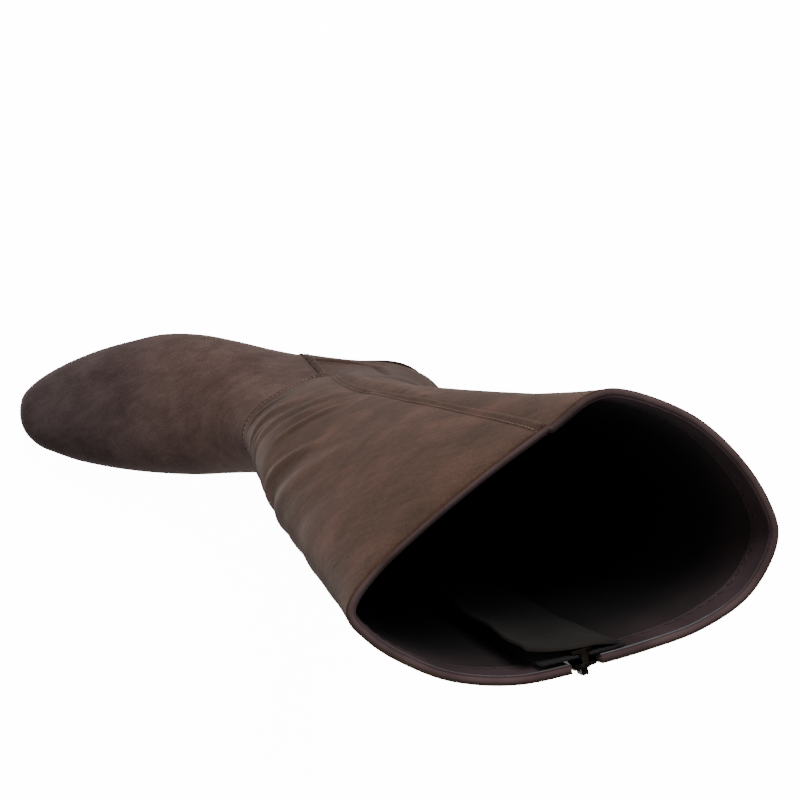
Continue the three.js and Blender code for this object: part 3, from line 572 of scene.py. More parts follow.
@dataclass(frozen=True)
class Suede:
    """Split leather with a brushed nap: matt, streaky, lighter where the nap stands towards the light.

    Attributes:
        name: The material's name.
        dark, middle, light: Its colours, from the dye's darkest patches to the palest.
        nap: Which way it was brushed.
        far: What its colour is multiplied by at the far end of the piece, as painted shade.
        far_axis: The coordinate that leads there, counted from 0.
        far_from, far_to: Where the change begins and ends, in metres.
    """

    name: str
    dark: str
    middle: str
    light: str
    nap: Nap
    far: str
    far_axis: int
    far_from: float
    far_to: float

    def material(self) -> bpy.types.Material:
        """Builds it."""
        paint = Paint(self.name)
        # Patches about 30 mm across, where the dye took unevenly.
        patch = paint.noise(34.0, 4.0, 0.6, 0.4)
        # Brushed streaks about 5 mm wide and 20 mm long.
        brushed = {
            "Rotation": Vector(self.nap.value).to_track_quat("Z", "Y").to_euler(),
            "Scale": (1.0, 1.0, 4.5),
        }
        turned = paint.add("Mapping", brushed, {"Vector": paint.place}, vector_type="TEXTURE")
        streak = paint.noise(210.0, 6.0, 0.68, 0.6, turned.outputs["Vector"])
        # The nap's own fibres, drawn about 0.9 mm wide so that they still show.
        fibre = paint.noise(1100.0, 3.0, 0.75)
        tone = paint.add("Math", {1: 0.34}, {0: streak}, operation="MULTIPLY").outputs[0]
        tone = paint.add("Math", {1: 0.66}, {0: patch, 2: tone}, operation="MULTIPLY_ADD").outputs[0]
        colour = paint.ramp(tone, (0.34, self.dark), (0.5, self.middle), (0.68, self.light))
        # Painted shade: the far end of the piece is painted darker, and on leg and foot greyer and cooler, as
        # if less light fell there.
        share = paint.spread(paint.axis(self.far_axis), (self.far_from, self.far_to), way="SMOOTHSTEP")
        colour = paint.multiply(share, colour, linear(self.far))
        # Painted light and shade: raised folds are painted lighter, as if lit, and creases darker, as if in
        # shade.
        relief = paint.add("Attribute", attribute_name="relief").outputs["Fac"]
        colour = paint.lighten(colour, paint.spread(relief, (-1.4, 1.2), (0.8, 1.16)))
        colour = paint.lighten(colour, paint.spread(fibre, (0.28, 0.72), (0.76, 1.24)))
        bump = paint.bump(fibre, 0.5, 0.0002, paint.bump(streak, 0.35, 0.0006))
        values = {
            "Roughness": 0.95,
            "Specular IOR Level": 0.05,
            "Sheen Weight": 0.16,
            "Sheen Roughness": 0.3,
            "Sheen Tint": linear("c9bab2"),
        }
        return paint.shade(values, {"Base Color": colour, "Normal": bump})


class Cloth(Enum):
    """How a cloth is made: its thread spacing in metres and how strongly it shows."""

    LINING = (0.0006, 0.25)
    TAPE = (0.0007, 0.8)
    THREAD = (0.0004, 0.6)


@dataclass(frozen=True)
class Woven:
    """Woven or spun textile: matt, with crossing threads and a little unevenness of dye."""

    name: str
    dark: str
    light: str
    cloth: Cloth
    # Whether it is painted darker deep inside the leg, as shade.
    shaded_deep: bool = False

    def material(self) -> bpy.types.Material:
        """Builds it."""
        paint = Paint(self.name)
        spacing, depth = self.cloth.value
        colour = paint.ramp(paint.noise(60.0, 3.0), (0.35, self.dark), (0.65, self.light))
        if self.shaded_deep:
            # Painted shade: as it is near the collar, and painted darker further down inside the leg, where
            # less light reaches.
            share = paint.spread(paint.axis(2), (0.422, 0.385), way="SMOOTHSTEP")
            colour = paint.multiply(share, colour, linear("4a4446"))
        # One thread each way, at the cloth's real spacing.
        values = {"Scale": 1 / spacing / RADIANS_ROUND, "Distortion": 0.6}
        threads = {}
        for n, way in enumerate(("Z", "DIAGONAL")):
            wave = paint.add("TexWave", values, {"Vector": paint.place}, bands_direction=way)
            threads[n] = wave.outputs["Fac"]
        both = paint.add("Math", links=threads, operation="MULTIPLY").outputs[0]
        values = {"Roughness": 0.9, "Specular IOR Level": 0.12, "Sheen Weight": 0.02}
        return paint.shade(values, {"Base Color": colour, "Normal": paint.bump(both, depth, 0.0002)})


@dataclass(frozen=True)
class Moulded:
    """Moulded rubber or nylon: dark, satin, with a fine pebble from the mould and scuffed patches."""

    name: str
    dark: str
    light: str
    roughness: float
    pebble: float

    def material(self) -> bpy.types.Material:
        """Builds it."""
        paint = Paint(self.name)
        patch = paint.noise(90.0, 5.0, 0.65)
        colour = paint.ramp(patch, (0.4, self.dark), (0.7, self.light))
        rough = paint.spread(patch, wanted=(self.roughness - 0.08, self.roughness + 0.12))
        pebble = paint.add("TexVoronoi", {"Scale": 1 / self.pebble}, {"Vector": paint.place})
        bump = paint.bump(pebble.outputs["Distance"], 0.25, 0.0002)
        links = {"Base Color": colour, "Roughness": rough, "Normal": bump}
        return paint.shade({"Specular IOR Level": 0.4}, links)


@dataclass(frozen=True)
class Bronzed:
    """Zinc alloy with a dark bronze plating: soft reflections, brighter where it is rubbed."""

    name: str
    dark: str
    light: str

    def material(self) -> bpy.types.Material:
        """Builds it."""
        paint = Paint(self.name)
        rub = paint.noise(450.0, 4.0, 0.6)
        colour = paint.ramp(rub, (0.4, self.dark), (0.7, self.light))
        rough = paint.spread(rub, wanted=(0.28, 0.5))
        links = {"Base Color": colour, "Roughness": rough, "Normal": paint.bump(rub, 0.15, 0.0001)}
        return paint.shade({"Metallic": 1.0}, links)


class Finishes:
    """Every finish of the boot, each built once."""

    def __init__(self) -> None:
        """Builds the materials."""
        # Each suede's colour after its nap paints shade at the far end: low on the leg, at the toe, and at
        # the foot of the heel.
        leg = Suede("suede_leg", "2d211b", "392921", "47312a", Nap.LEG, "e6e6f2", 2, 0.26, 0.12)
        foot = Suede("suede_vamp", "332623", "40312d", "4e3d38", Nap.FOOT, "deecfc", 0, 0.09, 0.2)
        heel = Suede("suede_heel", "221815", "2d221e", "3b2d27", Nap.FOOT, "d8ccc8", 2, 0.03, 0.0)
        self.leg = leg.material()
        self.foot = foot.material()
        self.heel = heel.material()
        # The lining and the guard are painted darker deep inside the leg, as shade.
        self.lining = Woven("lining_textile", "1c1415", "261a1c", Cloth.LINING, True).material()
        self.facing = Woven("facing_microfibre", "281b1d", "34262a", Cloth.LINING).material()
        self.edge = Woven("topline_binding", "332626", "423434", Cloth.LINING).material()
        # The cord's grey, paler than the lining, is partly a painted highlight: the lining's edge catching
        # the light.
        self.cord = Moulded("satin_cord_painted_highlight", "302e31", "3d3b3f", 0.55, 0.0006).material()
        self.tape = Woven("zip_tape_polyester", "120f10", "1a1617", Cloth.TAPE).material()
        self.guard = Woven("guard_cloth", "151311", "1e1a18", Cloth.LINING, True).material()
        self.thread = Woven("sewing_thread", "54423a", "665147", Cloth.THREAD).material()
        self.pale_thread = Woven("lining_thread", "2c2120", "372a28", Cloth.THREAD).material()
        self.sole = Moulded("sole_rubber", "0e0c0c", "161313", 0.6, 0.0012).material()
        self.coil = Moulded("zip_coil_nylon", "12100f", "1c1817", 0.4, 0.0009).material()
        self.bronze = Bronzed("dark_bronze", "171411", "322b25").material()


def weave(points: np.ndarray, merged: bool = False, filled: bool = False) -> bmesh.types.BMesh:
    """A grid of faces whose corners are moved to the given points.

    Args:
        points: Places in millimetres, as columns of rows.
        merged: Whether corners that fall together become one.
        filled: Whether open ends are then closed.

    Returns:
        The sheet as a bmesh in metres.
    """
    columns, rows = points.shape[:2]
    bm = bmesh.new()
    bmesh.ops.create_grid(bm, x_segments=columns - 1, y_segments=rows - 1, size=0.5)
    for vert in bm.verts:
        across = round((vert.co.x + 0.5) * (columns - 1))
        up = round((vert.co.y + 0.5) * (rows - 1))
        vert.co = Vector(points[across, up]) * MM
    if merged:
        bmesh.ops.remove_doubles(bm, verts=bm.verts, dist=WELD)
    if filled:
        bmesh.ops.holes_fill(bm, edges=bm.edges, sides=0)
        bmesh.ops.recalc_face_normals(bm, faces=bm.faces)
    return bm


def put(
    bm: bmesh.types.BMesh,
    name: str,
    material: bpy.types.Material,
    sharp: float = 40.0,
    relief: Callable[[np.ndarray], np.ndarray] | None = None,
) -> bpy.types.Object:
    """Turns a bmesh into a finished piece that rides on the boot.

    Args:
        bm: The mesh, which is freed.
        name: The piece's name.
        material: Its finish.
        sharp: Edges bent by more than this many degrees stay sharp.
        relief: How high the folds stand at each point, for the finish to paint ridges lighter and creases
            darker as light and shade.

    Returns:
        The new object.
    """
    mesh = bpy.data.meshes.new(name)
    bm.to_mesh(mesh)
    bm.free()
    mesh.polygons.foreach_set("use_smooth", [True] * len(mesh.polygons))
    mesh.set_sharp_from_angle(angle=math.radians(sharp))
    mesh.materials.append(material)
    attribute = mesh.attributes.new("relief", "FLOAT", "POINT")
    if relief is not None:
        flat = np.empty(len(mesh.vertices) * 3)
        mesh.vertices.foreach_get("co", flat)
        attribute.data.foreach_set("value", relief(flat.reshape(-1, 3) / MM))
    piece = bpy.data.objects.new(name, mesh)
    bpy.context.scene.collection.objects.link(piece)
    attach(piece, "boot")
    LOG.info("%s: %d faces", name, len(mesh.polygons))
    return piece


def wall(piece: bpy.types.Object, thickness: float) -> None:
    """Gives a sheet its thickness, inwards, in millimetres."""
    solid = piece.modifiers.new("wall", "SOLIDIFY")
    solid.thickness = thickness * MM
    solid.offset = -1
    solid.use_even_offset = False
    solid.use_rim = True


def line_with(piece: bpy.types.Object, lining: bpy.types.Material, thickness: float, rim: int) -> None:
    """Gives a sheet of suede its thickness, with the lining on its inner face.

    Args:
        piece: The sheet.
        lining: The inner face's material.
        thickness: Suede and lining together, in millimetres.
        rim: Whether its edges are of suede, 0, or of lining, 1.
    """
    piece.data.materials.append(lining)
    wall(piece, thickness)
    solid = piece.modifiers["wall"]
    solid.material_offset = 1
    solid.material_offset_rim = rim


def soften(piece: bpy.types.Object, width: float) -> None:
    """Rounds a piece's sharp edges by a width in millimetres."""
    bevel = piece.modifiers.new("edges", "BEVEL")
    bevel.width = width * MM
    bevel.segments = 2
    bevel.limit_method = "ANGLE"
    bevel.angle_limit = math.radians(35)
    bevel.harden_normals = False


def scatter(spots: list[Matrix], around: int, along: int) -> bmesh.types.BMesh:
    """Many small rounded spindles in one mesh.

    Args:
        spots: Where each one lies, and how it is turned and stretched, in metres.
        around: Faces round each.
        along: Faces from end to end.

    Returns:
        All of them as one bmesh.
    """
    ball = bmesh.new()
    bmesh.ops.create_uvsphere(ball, u_segments=around, v_segments=along, radius=1)
    # The sphere's faces come in any order, so they are put in that of their corners.
    ball.verts.index_update()
    ball.faces.sort(key=lambda face: sum(2.0**vert.index for vert in face.verts))
    copies = bpy.data.meshes.new("copies")
    ball.to_mesh(copies)
    ball.free()
    # A fresh mesh keeps every copy's corners in the order in which they came.
    bm = bmesh.new()
    bm.from_mesh(copies)
    one = [vert.co.copy() for vert in bm.verts]
    while len(bm.verts) < len(one) * len(spots):
        bm.to_mesh(copies)
        bm.from_mesh(copies)
    bpy.data.meshes.remove(copies)
    bm.verts.ensure_lookup_table()
    bmesh.ops.delete(bm, geom=bm.verts[len(one) * len(spots) :], context="VERTS")
    bm.verts.ensure_lookup_table()
    for n, spot in enumerate(spots):
        for k, corner in enumerate(one):
            bm.verts[n * len(one) + k].co = spot @ corner
    return bm


def spindle(start: Vector, end: Vector, up: Vector, wide: float, high: float) -> Matrix:
    """The place of a spindle.

    Args:
        start, end: Its two ends in millimetres.
        up: The surface's normal under it.
        wide, high: Half its width and height in millimetres.

    Returns:
        Its matrix in metres.
    """
    along = (end - start).normalized()
    side = up.cross(along).normalized()
    turn = Matrix((along, side, along.cross(side))).transposed().to_4x4()
    size = Matrix.Diagonal(((end - start).length / 2 * MM, wide * MM, high * MM, 1))
    return Matrix.Translation((start + end) / 2 * MM) @ turn @ size


@dataclass
class Seams:
    """Rows of stitches: each stitch a small spindle of thread lying on the surface."""

    length: float = 1.9
    pitch: float = 2.6
    radius: float = 0.26
    spots: list[Matrix] = field(default_factory=list, init=False)

    def row(self, course: np.ndarray, up: np.ndarray, zigzag: float = 0.0) -> None:
        """Adds one row.

        Args:
            course: The row's points in millimetres.
            up: The surface's normals there.
            zigzag: How far the stitches swing to each side.
        """
        gone = gone_along(course)
        reach = self.pitch if zigzag else self.length
        for n in range(int(gone[-1] // self.pitch)):
            here = (n + 0.5) * self.pitch
            start, end = (
                Vector([np.interp(here + side * reach / 2, gone, course[:, axis]) for axis in range(3)])
                for side in (-1, 1)
            )
            rise = Vector([np.interp(here, gone, up[:, axis]) for axis in range(3)]).normalized()
            swing = rise.cross((end - start).normalized()) * zigzag * (-1) ** n
            self.spots.append(spindle(start - swing, end + swing, rise, self.radius, self.radius))

    def sew(self) -> bmesh.types.BMesh:
        """Every stitch so far as one mesh."""
        return scatter(self.spots, 6, 4)


@dataclass
class Leg:
    """The leg with its quarter and counter, its lining, its folded topline and its stitching.

    Attributes:
        last, zip_line, finishes: The form, the zip's course on it, and the materials.
        wall: Suede and lining together. This and the sizes below are in millimetres.
        step: How far the leg stands over the vamp, and panel_step the front panel over the back one.
        slot_width, slot_foot: The zip's opening, and how far over the seat it ends.
        facing_depth: How far the facing reaches down inside.
        columns, rows: Corners across each of the two panels, and up.
        share: How far over its panel each column lies, for both panels.
        folds: The creases and ridges.
    """

    last: Last
    zip_line: ZipLine
    finishes: Finishes
    wall: float = 2.0
    step: float = 1.2
    panel_step: float = 0.8
    slot_width: float = 9.4
    slot_foot: float = 25.0
    facing_depth: float = 13.0
    columns: int = 124
    rows: int = 176
    share: np.ndarray = field(init=False)
    folds: tuple[Fold, ...] = (
        # The crease over the top of the counter, behind the quarter's seam.
        Fold(((277, 82), (274, 84), (272, 92), (267, 112), (259, 138), (252, 160)), 2.2, -1.7, 0.35),
        Fold(((270, 74), (262, 80), (250, 92), (240, 110)), 7, 1.0, 0.1),
        # The fold that runs beside the outer seam above the ankle.
        Fold(((276, 150), (274, 180), (271, 215), (272, 250), (276, 290), (280, 330)), 3.2, 1.3, 0.3),
        Fold(((288, 150), (284, 185), (283, 225), (285, 262)), 4.0, -1.2, 0.2),
        # Wrinkles over the front of the ankle, rising towards the outer side.
        Fold(((8, 178), (352, 180), (338, 184), (326, 194), (314, 208), (302, 224)), 3.6, -1.1, 0.4),
        Fold(((20, 192), (2, 198), (346, 200), (332, 208), (320, 222)), 3.0, 0.7, 0.3),
        Fold(((338, 208), (322, 219), (308, 229), (296, 240)), 3.2, -0.9, 0.4),
        Fold(((334, 238), (318, 246), (306, 252), (296, 260)), 2.4, 0.7, 0.3),
        Fold(((14, 243), (4, 249), (350, 257), (338, 267), (328, 278), (316, 292)), 2.6, 1.1, 0.3),
        Fold(((26, 252), (8, 262), (354, 270), (342, 280), (330, 292)), 4.4, -1.1, 0.3),
        Fold(((34, 262), (16, 272), (356, 288), (340, 300), (326, 312), (310, 330)), 5.0, 0.9, 0.2),
        Fold(((40, 300), (22, 312), (2, 326), (344, 338), (326, 352)), 8.0, -0.8, 0.2),
        Fold(((58, 214), (40, 226), (24, 232), (6, 236)), 4.0, -0.9, 0.3),
        Fold(((70, 172), (52, 182), (34, 186), (18, 188)), 4.2, -1.0, 0.3),
        Fold(((350, 156), (338, 156), (326, 160), (314, 168)), 2.4, -0.7, 0.3),
        # Softer ones round the back of the ankle and up the calf.
        Fold(((205, 150), (225, 158), (243, 172), (256, 190)), 6.0, -1.2, 0.3),
        Fold(((150, 150), (170, 145), (190, 147), (212, 152)), 6.0, -1.3, 0.3),
        Fold(((128, 178), (150, 172), (172, 170), (194, 174)), 6.5, 0.9, 0.2),
        Fold(((100, 150), (118, 158), (134, 170), (150, 186)), 5.0, -1.0, 0.3),
        Fold(((200, 232), (220, 246), (238, 262), (252, 282)), 9.0, -1.2, 0.2),
        Fold(((140, 236), (158, 248), (176, 258), (196, 270)), 9.0, -1.0, 0.2),
    )

    def __post_init__(self) -> None:
        """Shares the columns out: close along both edges of a panel, and where they would run far apart."""
        tries, levels = 600, 24
        even = np.tile(np.linspace(0, 1, tries), (2, 1))
        walk = np.maximum(self.lower(even), np.linspace(LEVELS_START, self.last.top, levels))
        spots = self.last.surface(walk, self.turns(walk, even)).reshape(2, tries, levels, 3)
        edge = np.array((0, 0.45, 0.9, 1.5, 2.2, 3.0, 4.0, 5.3)) / 180
        panels = []
        for sheet in spots:
            steps = np.minimum(np.linalg.norm(np.diff(sheet, axis=0), axis=-1), 3).max(axis=1)
            gone = np.concatenate(([0.0], np.cumsum(steps)))
            ends = np.interp((edge[-1], 1 - edge[-1]), even[0], gone)
            wanted = np.linspace(*ends, self.columns - 2 * len(edge) + 2)[1:-1]
            panels.append(np.concatenate((edge, np.interp(wanted, gone, even[0]), 1 - edge[::-1])))
        self.share = np.array(panels)

    def gap(self, place: np.ndarray) -> np.ndarray:
        """Half the zip's opening at each place, closed and round at its foot."""
        half = self.slot_width / 2
        over = np.clip((self.zip_line.height(place) - SEAT_HEIGHT - self.slot_foot) / half, 0, 1)
        return half * np.sqrt(np.maximum(0, 1 - (1 - over) ** 2))

    def turns(self, place: np.ndarray, share: np.ndarray | None = None) -> np.ndarray:
        """The turn of every column at its places: the back panel's columns, then the front one's.

        Args:
            place: Places on each column.
            share: How far each lies over its panel, for both panels.

        Returns:
            The turn at each place.
        """
        share = self.share if share is None else share
        count = share.shape[1]
        gap = self.gap(place)
        # Below the zip the panels part at the turn where it ends.
        held = np.maximum(place, self.zip_line.place(SEAT_HEIGHT + self.slot_foot - 2))
        first = self.zip_line.turn(held[:count], -gap[:count])
        last = self.zip_line.turn(held[count:], gap[count:]) + 360
        foot = outer_seam(place[:count]) - 0.3
        head = outer_seam(place[count:]) + 0.3
        back, front = share[:, :, None]
        return np.concatenate((first + (foot - first) * back, head + (last - head) * front))

    def relief(self, points: np.ndarray) -> np.ndarray:
        """How far all folds together move each point."""
        return sum(fold.relief(self.last, points) for fold in self.folds)

    def lower(self, share: np.ndarray) -> np.ndarray:
        """The lowest place of each column, one a row."""
        dense = np.tile(np.linspace(LEG_START, self.last.top, 400), (share.size, 1))
        allowed = self.kept(dense, share)
        last_bad = dense.shape[1] - 1 - np.argmax(~allowed[:, ::-1], axis=1)
        last_bad = np.where(allowed.all(axis=1), 0, np.minimum(last_bad, dense.shape[1] - 2))
        low = dense[np.arange(len(dense)), last_bad][:, None]
        high = dense[np.arange(len(dense)), last_bad + 1][:, None]
        return halve(low, high, lambda mid: ~self.kept(mid, share), 18)[1]

    def grid(self) -> tuple[np.ndarray, np.ndarray, np.ndarray, np.ndarray]:
        """Lays the columns out from the lower edge to the collar.

        Returns:
            Place, turn and distance from the lower edge, in millimetres, of every corner, and which columns
            end on the vamp's seam.
        """
        high = self.lower(self.share)
        walk = high + (self.last.top - high) * np.linspace(0, 1, 260)
        gone = gone_along(self.last.surface(walk, self.turns(walk)))
        edge = np.array((0, 0.5, 1.0, 1.6, 2.3, 3.1, 4.1, 5.4))
        near = np.stack([np.interp(edge, g, w) for g, w in zip(gone, walk, strict=True)])
        # Above the edge every column has its corners at the same places, so the faces don't shear.
        levels = np.linspace(LEVELS_START, self.last.top, self.rows - len(edge))
        place = np.concatenate((near, np.maximum(levels, near[:, -1:])), axis=1)
        targets = np.stack([np.interp(p, w, g) for p, w, g in zip(place, walk, gone, strict=True)])
        foot = self.last.surface(high, self.turns(high))[:, 0]
        seamed = foot[:, 2] > self.last.feather(foot[:, 0]) + 1.5
        return place, self.turns(place), targets, seamed

    def depths(self, shape: tuple[int, ...], back: float) -> np.ndarray:
        """A depth for every column: as given on the back panel, and a panel's step more on the front one."""
        depth = np.full(shape, back)
        depth[self.columns :] += self.panel_step
        return depth

    def raised(self, place: np.ndarray, turn: np.ndarray, depth: np.ndarray) -> np.ndarray:
        """Points of the outside moved out by a depth and by the folds."""
        base = self.last.surface(place, turn)
        folds = self.relief(base.reshape(-1, 3)).reshape(place.shape)
        return base + self.last.normal(place, turn) * (depth + folds)[..., None]

    def kept(self, place: np.ndarray, share: np.ndarray) -> np.ndarray:
        """Whether the leg covers each column at its places."""
        points = self.last.surface(place, self.turns(place, share))
        return ~self.last.over_vamp(points) & (points[..., 2] > self.last.feather(points[..., 0]) + EDGE_RISE)

    def build(self) -> None:
        """Makes the leg."""
        place, turn, gone, seamed = self.grid()
        depth = self.depths(place.shape, self.step)
        # The vamp's seam: a folded edge and the groove of its stitches.
        depth += (0.55 * bell(gone, 0.9, 0.8) - 0.4 * bell(gone, 2.7, 0.9)) * seamed[:, None]
        # The edge is pared thin where it laps over the vamp.
        depth -= 0.75 * bell(gone, 0, 2.6) * seamed[:, None]
        # The outer seam, the same way.
        under, over = np.split((turn - outer_seam(place)) * 0.9, 2)
        depth[self.columns :] += 0.5 * bell(over, 0.9, 0.9) - 0.45 * bell(over, 3.0, 1.0)
        depth[: self.columns] -= 0.3 * bell(under, 0, 2.0)
        bm = weave(self.raised(place, turn, depth), merged=True)
        piece = put(bm, "leg_suede", self.finishes.leg, relief=self.relief)
        line_with(piece, self.finishes.lining, self.wall, 0)
        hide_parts("leg")

    def rim(self, inset: float, wide: float, high: float, drop: float) -> bmesh.types.BMesh:
        """A rod laid round the collar, open at the zip.

        Args:
            inset: How far its middle lies inside the outer face, in millimetres.
            wide, high: Half its width and height.
            drop: How far its middle lies under the collar's edge.

        Returns:
            The rod as a bmesh.
        """
        place = np.full((2 * self.columns, 1), float(self.last.top))
        turn = self.turns(place)[:, 0]
        place = place[:, 0]
        outer = self.last.surface(place, turn)
        out = self.last.normal(place, turn)
        out[:, 2] = 0
        out /= np.linalg.norm(out, axis=1, keepdims=True)
        depth = self.depths(turn.shape, self.step)
        middle = outer + out * (depth + self.relief(outer) - inset)[:, None]
        angles = np.linspace(0, 2 * np.pi, 17)
        upright = np.array((0, 0, 1))
        ring = [middle + out * (wide * math.cos(a)) + upright * (high * math.sin(a) - drop) for a in angles]
        return weave(np.stack(ring)[::-1], merged=True, filled=True)

    def topline(self) -> None:
        """The folded edge round the collar, and the cord that is sewn in along its inner side, painted paler
        than the lining as a highlight.
        """
        fold = self.rim(self.wall / 2 + 0.3, self.wall / 2, 1.0, 0.5)
        cord = self.rim(self.wall + 0.5, 0.3, 0.3, 0.7)
        put(fold, "topline_edge", self.finishes.edge)
        put(cord, "topline_cord", self.finishes.cord)

    def facing(self) -> None:
        """The band inside the collar."""
        steps = np.linspace(0, 1, 14)
        foot = self.last.top - self.facing_depth / TOP_SPAN
        place = np.tile(foot + (self.last.top - 0.02 - foot) * steps, (2 * self.columns, 1))
        turn = self.turns(place)
        points = self.raised(place, turn, self.depths(place.shape, self.step - self.wall - 0.06))
        piece = put(weave(points), "collar_facing", self.finishes.facing)
        wall(piece, 0.7)

    def stitching(self) -> None:
        """All rows of stitches on the leg, outside and in."""
        seams = Seams()
        place, turn, gone, seamed = self.grid()
        base = self.last.surface(place, turn)
        normal = self.last.normal(place, turn)
        folds = self.relief(base.reshape(-1, 3)).reshape(place.shape)

        def course(columns: np.ndarray, rows: np.ndarray, lift: float) -> None:
            over = np.where(columns >= self.columns, self.step + self.panel_step, self.step)
            up = normal[columns, rows]
            seams.row(base[columns, rows] + up * (over + folds[columns, rows] + lift)[:, None], up)

        everywhere = np.arange(3, self.rows)
        # One row beside the outer seam, on the front panel.
        course(np.full(len(everywhere), self.columns + 5), everywhere, -0.08)
        # One row along each edge of the zip.
        high = np.arange(self.rows)
        for column in (4, 2 * self.columns - 5):
            open_rows = high[self.gap(place[column]) > 4.6]
            course(np.full(len(open_rows), column), open_rows, 0.04)
        around = np.arange(2 * self.columns)
        # Over the vamp: two rows up the quarter and one over the instep.
        for row, highest, lift in ((5, math.inf, -0.1), (7, 118.0, 0.04)):
            for panel in np.split(around, 2):
                chosen = panel[seamed[panel] & (base[panel, 0, 2] < highest)]
                for part in np.split(chosen, np.flatnonzero(np.diff(chosen) > 1) + 1):
                    if len(part) > 3:
                        course(part, np.full(len(part), row), lift)
        put(seams.sew(), "leg_stitches", self.finishes.thread)
        # The zigzag row that holds the facing inside the collar.
        level = self.last.top - (self.facing_depth - 2.0) / TOP_SPAN
        turns = self.turns(np.full((2 * self.columns, 1), level))[:, 0]
        places = np.full(len(turns), level)
        out = self.last.normal(places, turns)
        depth = self.depths(turns.shape, self.step - self.wall - 0.9)
        spots = self.last.surface(places, turns) + out * depth[:, None]
        zigzag = Seams(pitch=1.9, radius=0.2)
        zigzag.row(spots, -out, zigzag=0.7)
        LOG.info("stitches: %d", len(seams.spots) + len(zigzag.spots))
        put(zigzag.sew(), "facing_stitches", self.finishes.pale_thread)


@dataclass
class Vamp:
    """The foot's front in one piece, lasted over the sole.

    Attributes:
        last, finishes: The form and the materials.
        wall: Suede and lining together, in millimetres.
        underlap: How far it reaches in under the leg's edge.
        last_place: The section that it can't reach past.
        columns, rows: Corners across it and from the toe back.
    """

    last: Last
    finishes: Finishes
    wall: float = 1.9
    underlap: float = 1.2
    last_place: float = 19.0
    columns: int = 150
    rows: int = 170

    def limits(self) -> tuple[np.ndarray, np.ndarray, np.ndarray]:
        """The turns at which each section meets the feather line.

        Returns:
            Places, and the limits on the inner and the outer side there.
        """
        places = np.linspace(0, self.last_place, 500)

        def over(turn: np.ndarray) -> np.ndarray:
            point = self.last.surface(places, turn)
            return point[:, 2] > self.last.feather(point[:, 0]) + EDGE_RISE

        low, high = np.full(500, 60.0), np.full(500, 180.0)
        inner = halve(low, high, over)[0]
        outer = halve(low, high, lambda turn: over(-turn))[0]
        return places, inner, outer

    def build(self) -> None:
        """Makes the vamp."""
        places, inner, outer = self.limits()
        u = np.linspace(-1, 1, self.columns)[:, None]

        def turns(place: np.ndarray) -> np.ndarray:
            most = np.where(u > 0, np.interp(place, places, inner), np.interp(place, places, outer))
            return u * most

        def ahead(place: np.ndarray) -> np.ndarray:
            return self.last.over_vamp(self.last.surface(place, turns(place)), -self.underlap)

        dense = np.tile(np.linspace(0, self.last_place, 700), (self.columns, 1))
        first_bad = np.maximum(np.argmax(~ahead(dense), axis=1), 1)
        rows = np.arange(self.columns)
        low, high = (dense[rows, first_bad - n][:, None] for n in (1, 0))
        walk = halve(low, high, ahead, 18)[0] * np.linspace(0, 1, 300)
        gone = gone_along(self.last.surface(walk, turns(walk)))
        targets = gone[:, -1:] * np.linspace(0, 1, self.rows) ** 1.15
        place = np.stack([np.interp(t, g, w) for t, g, w in zip(targets, gone, walk, strict=True)])
        points = self.last.surface(place, turns(place))
        tip = np.array((FOOT_LENGTH - HEEL_OVERHANG - 0.1, -0.6, points[0, 0, 2] + 2.2))
        first = np.tile(tip, (self.columns, 1, 1)).reshape(self.columns, 1, 3)
        bm = weave(np.concatenate((first, points), axis=1), merged=True)
        piece = put(bm, "vamp_suede", self.finishes.foot, sharp=80)
        line_with(piece, self.finishes.lining, self.wall, 1)
        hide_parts("vamp")


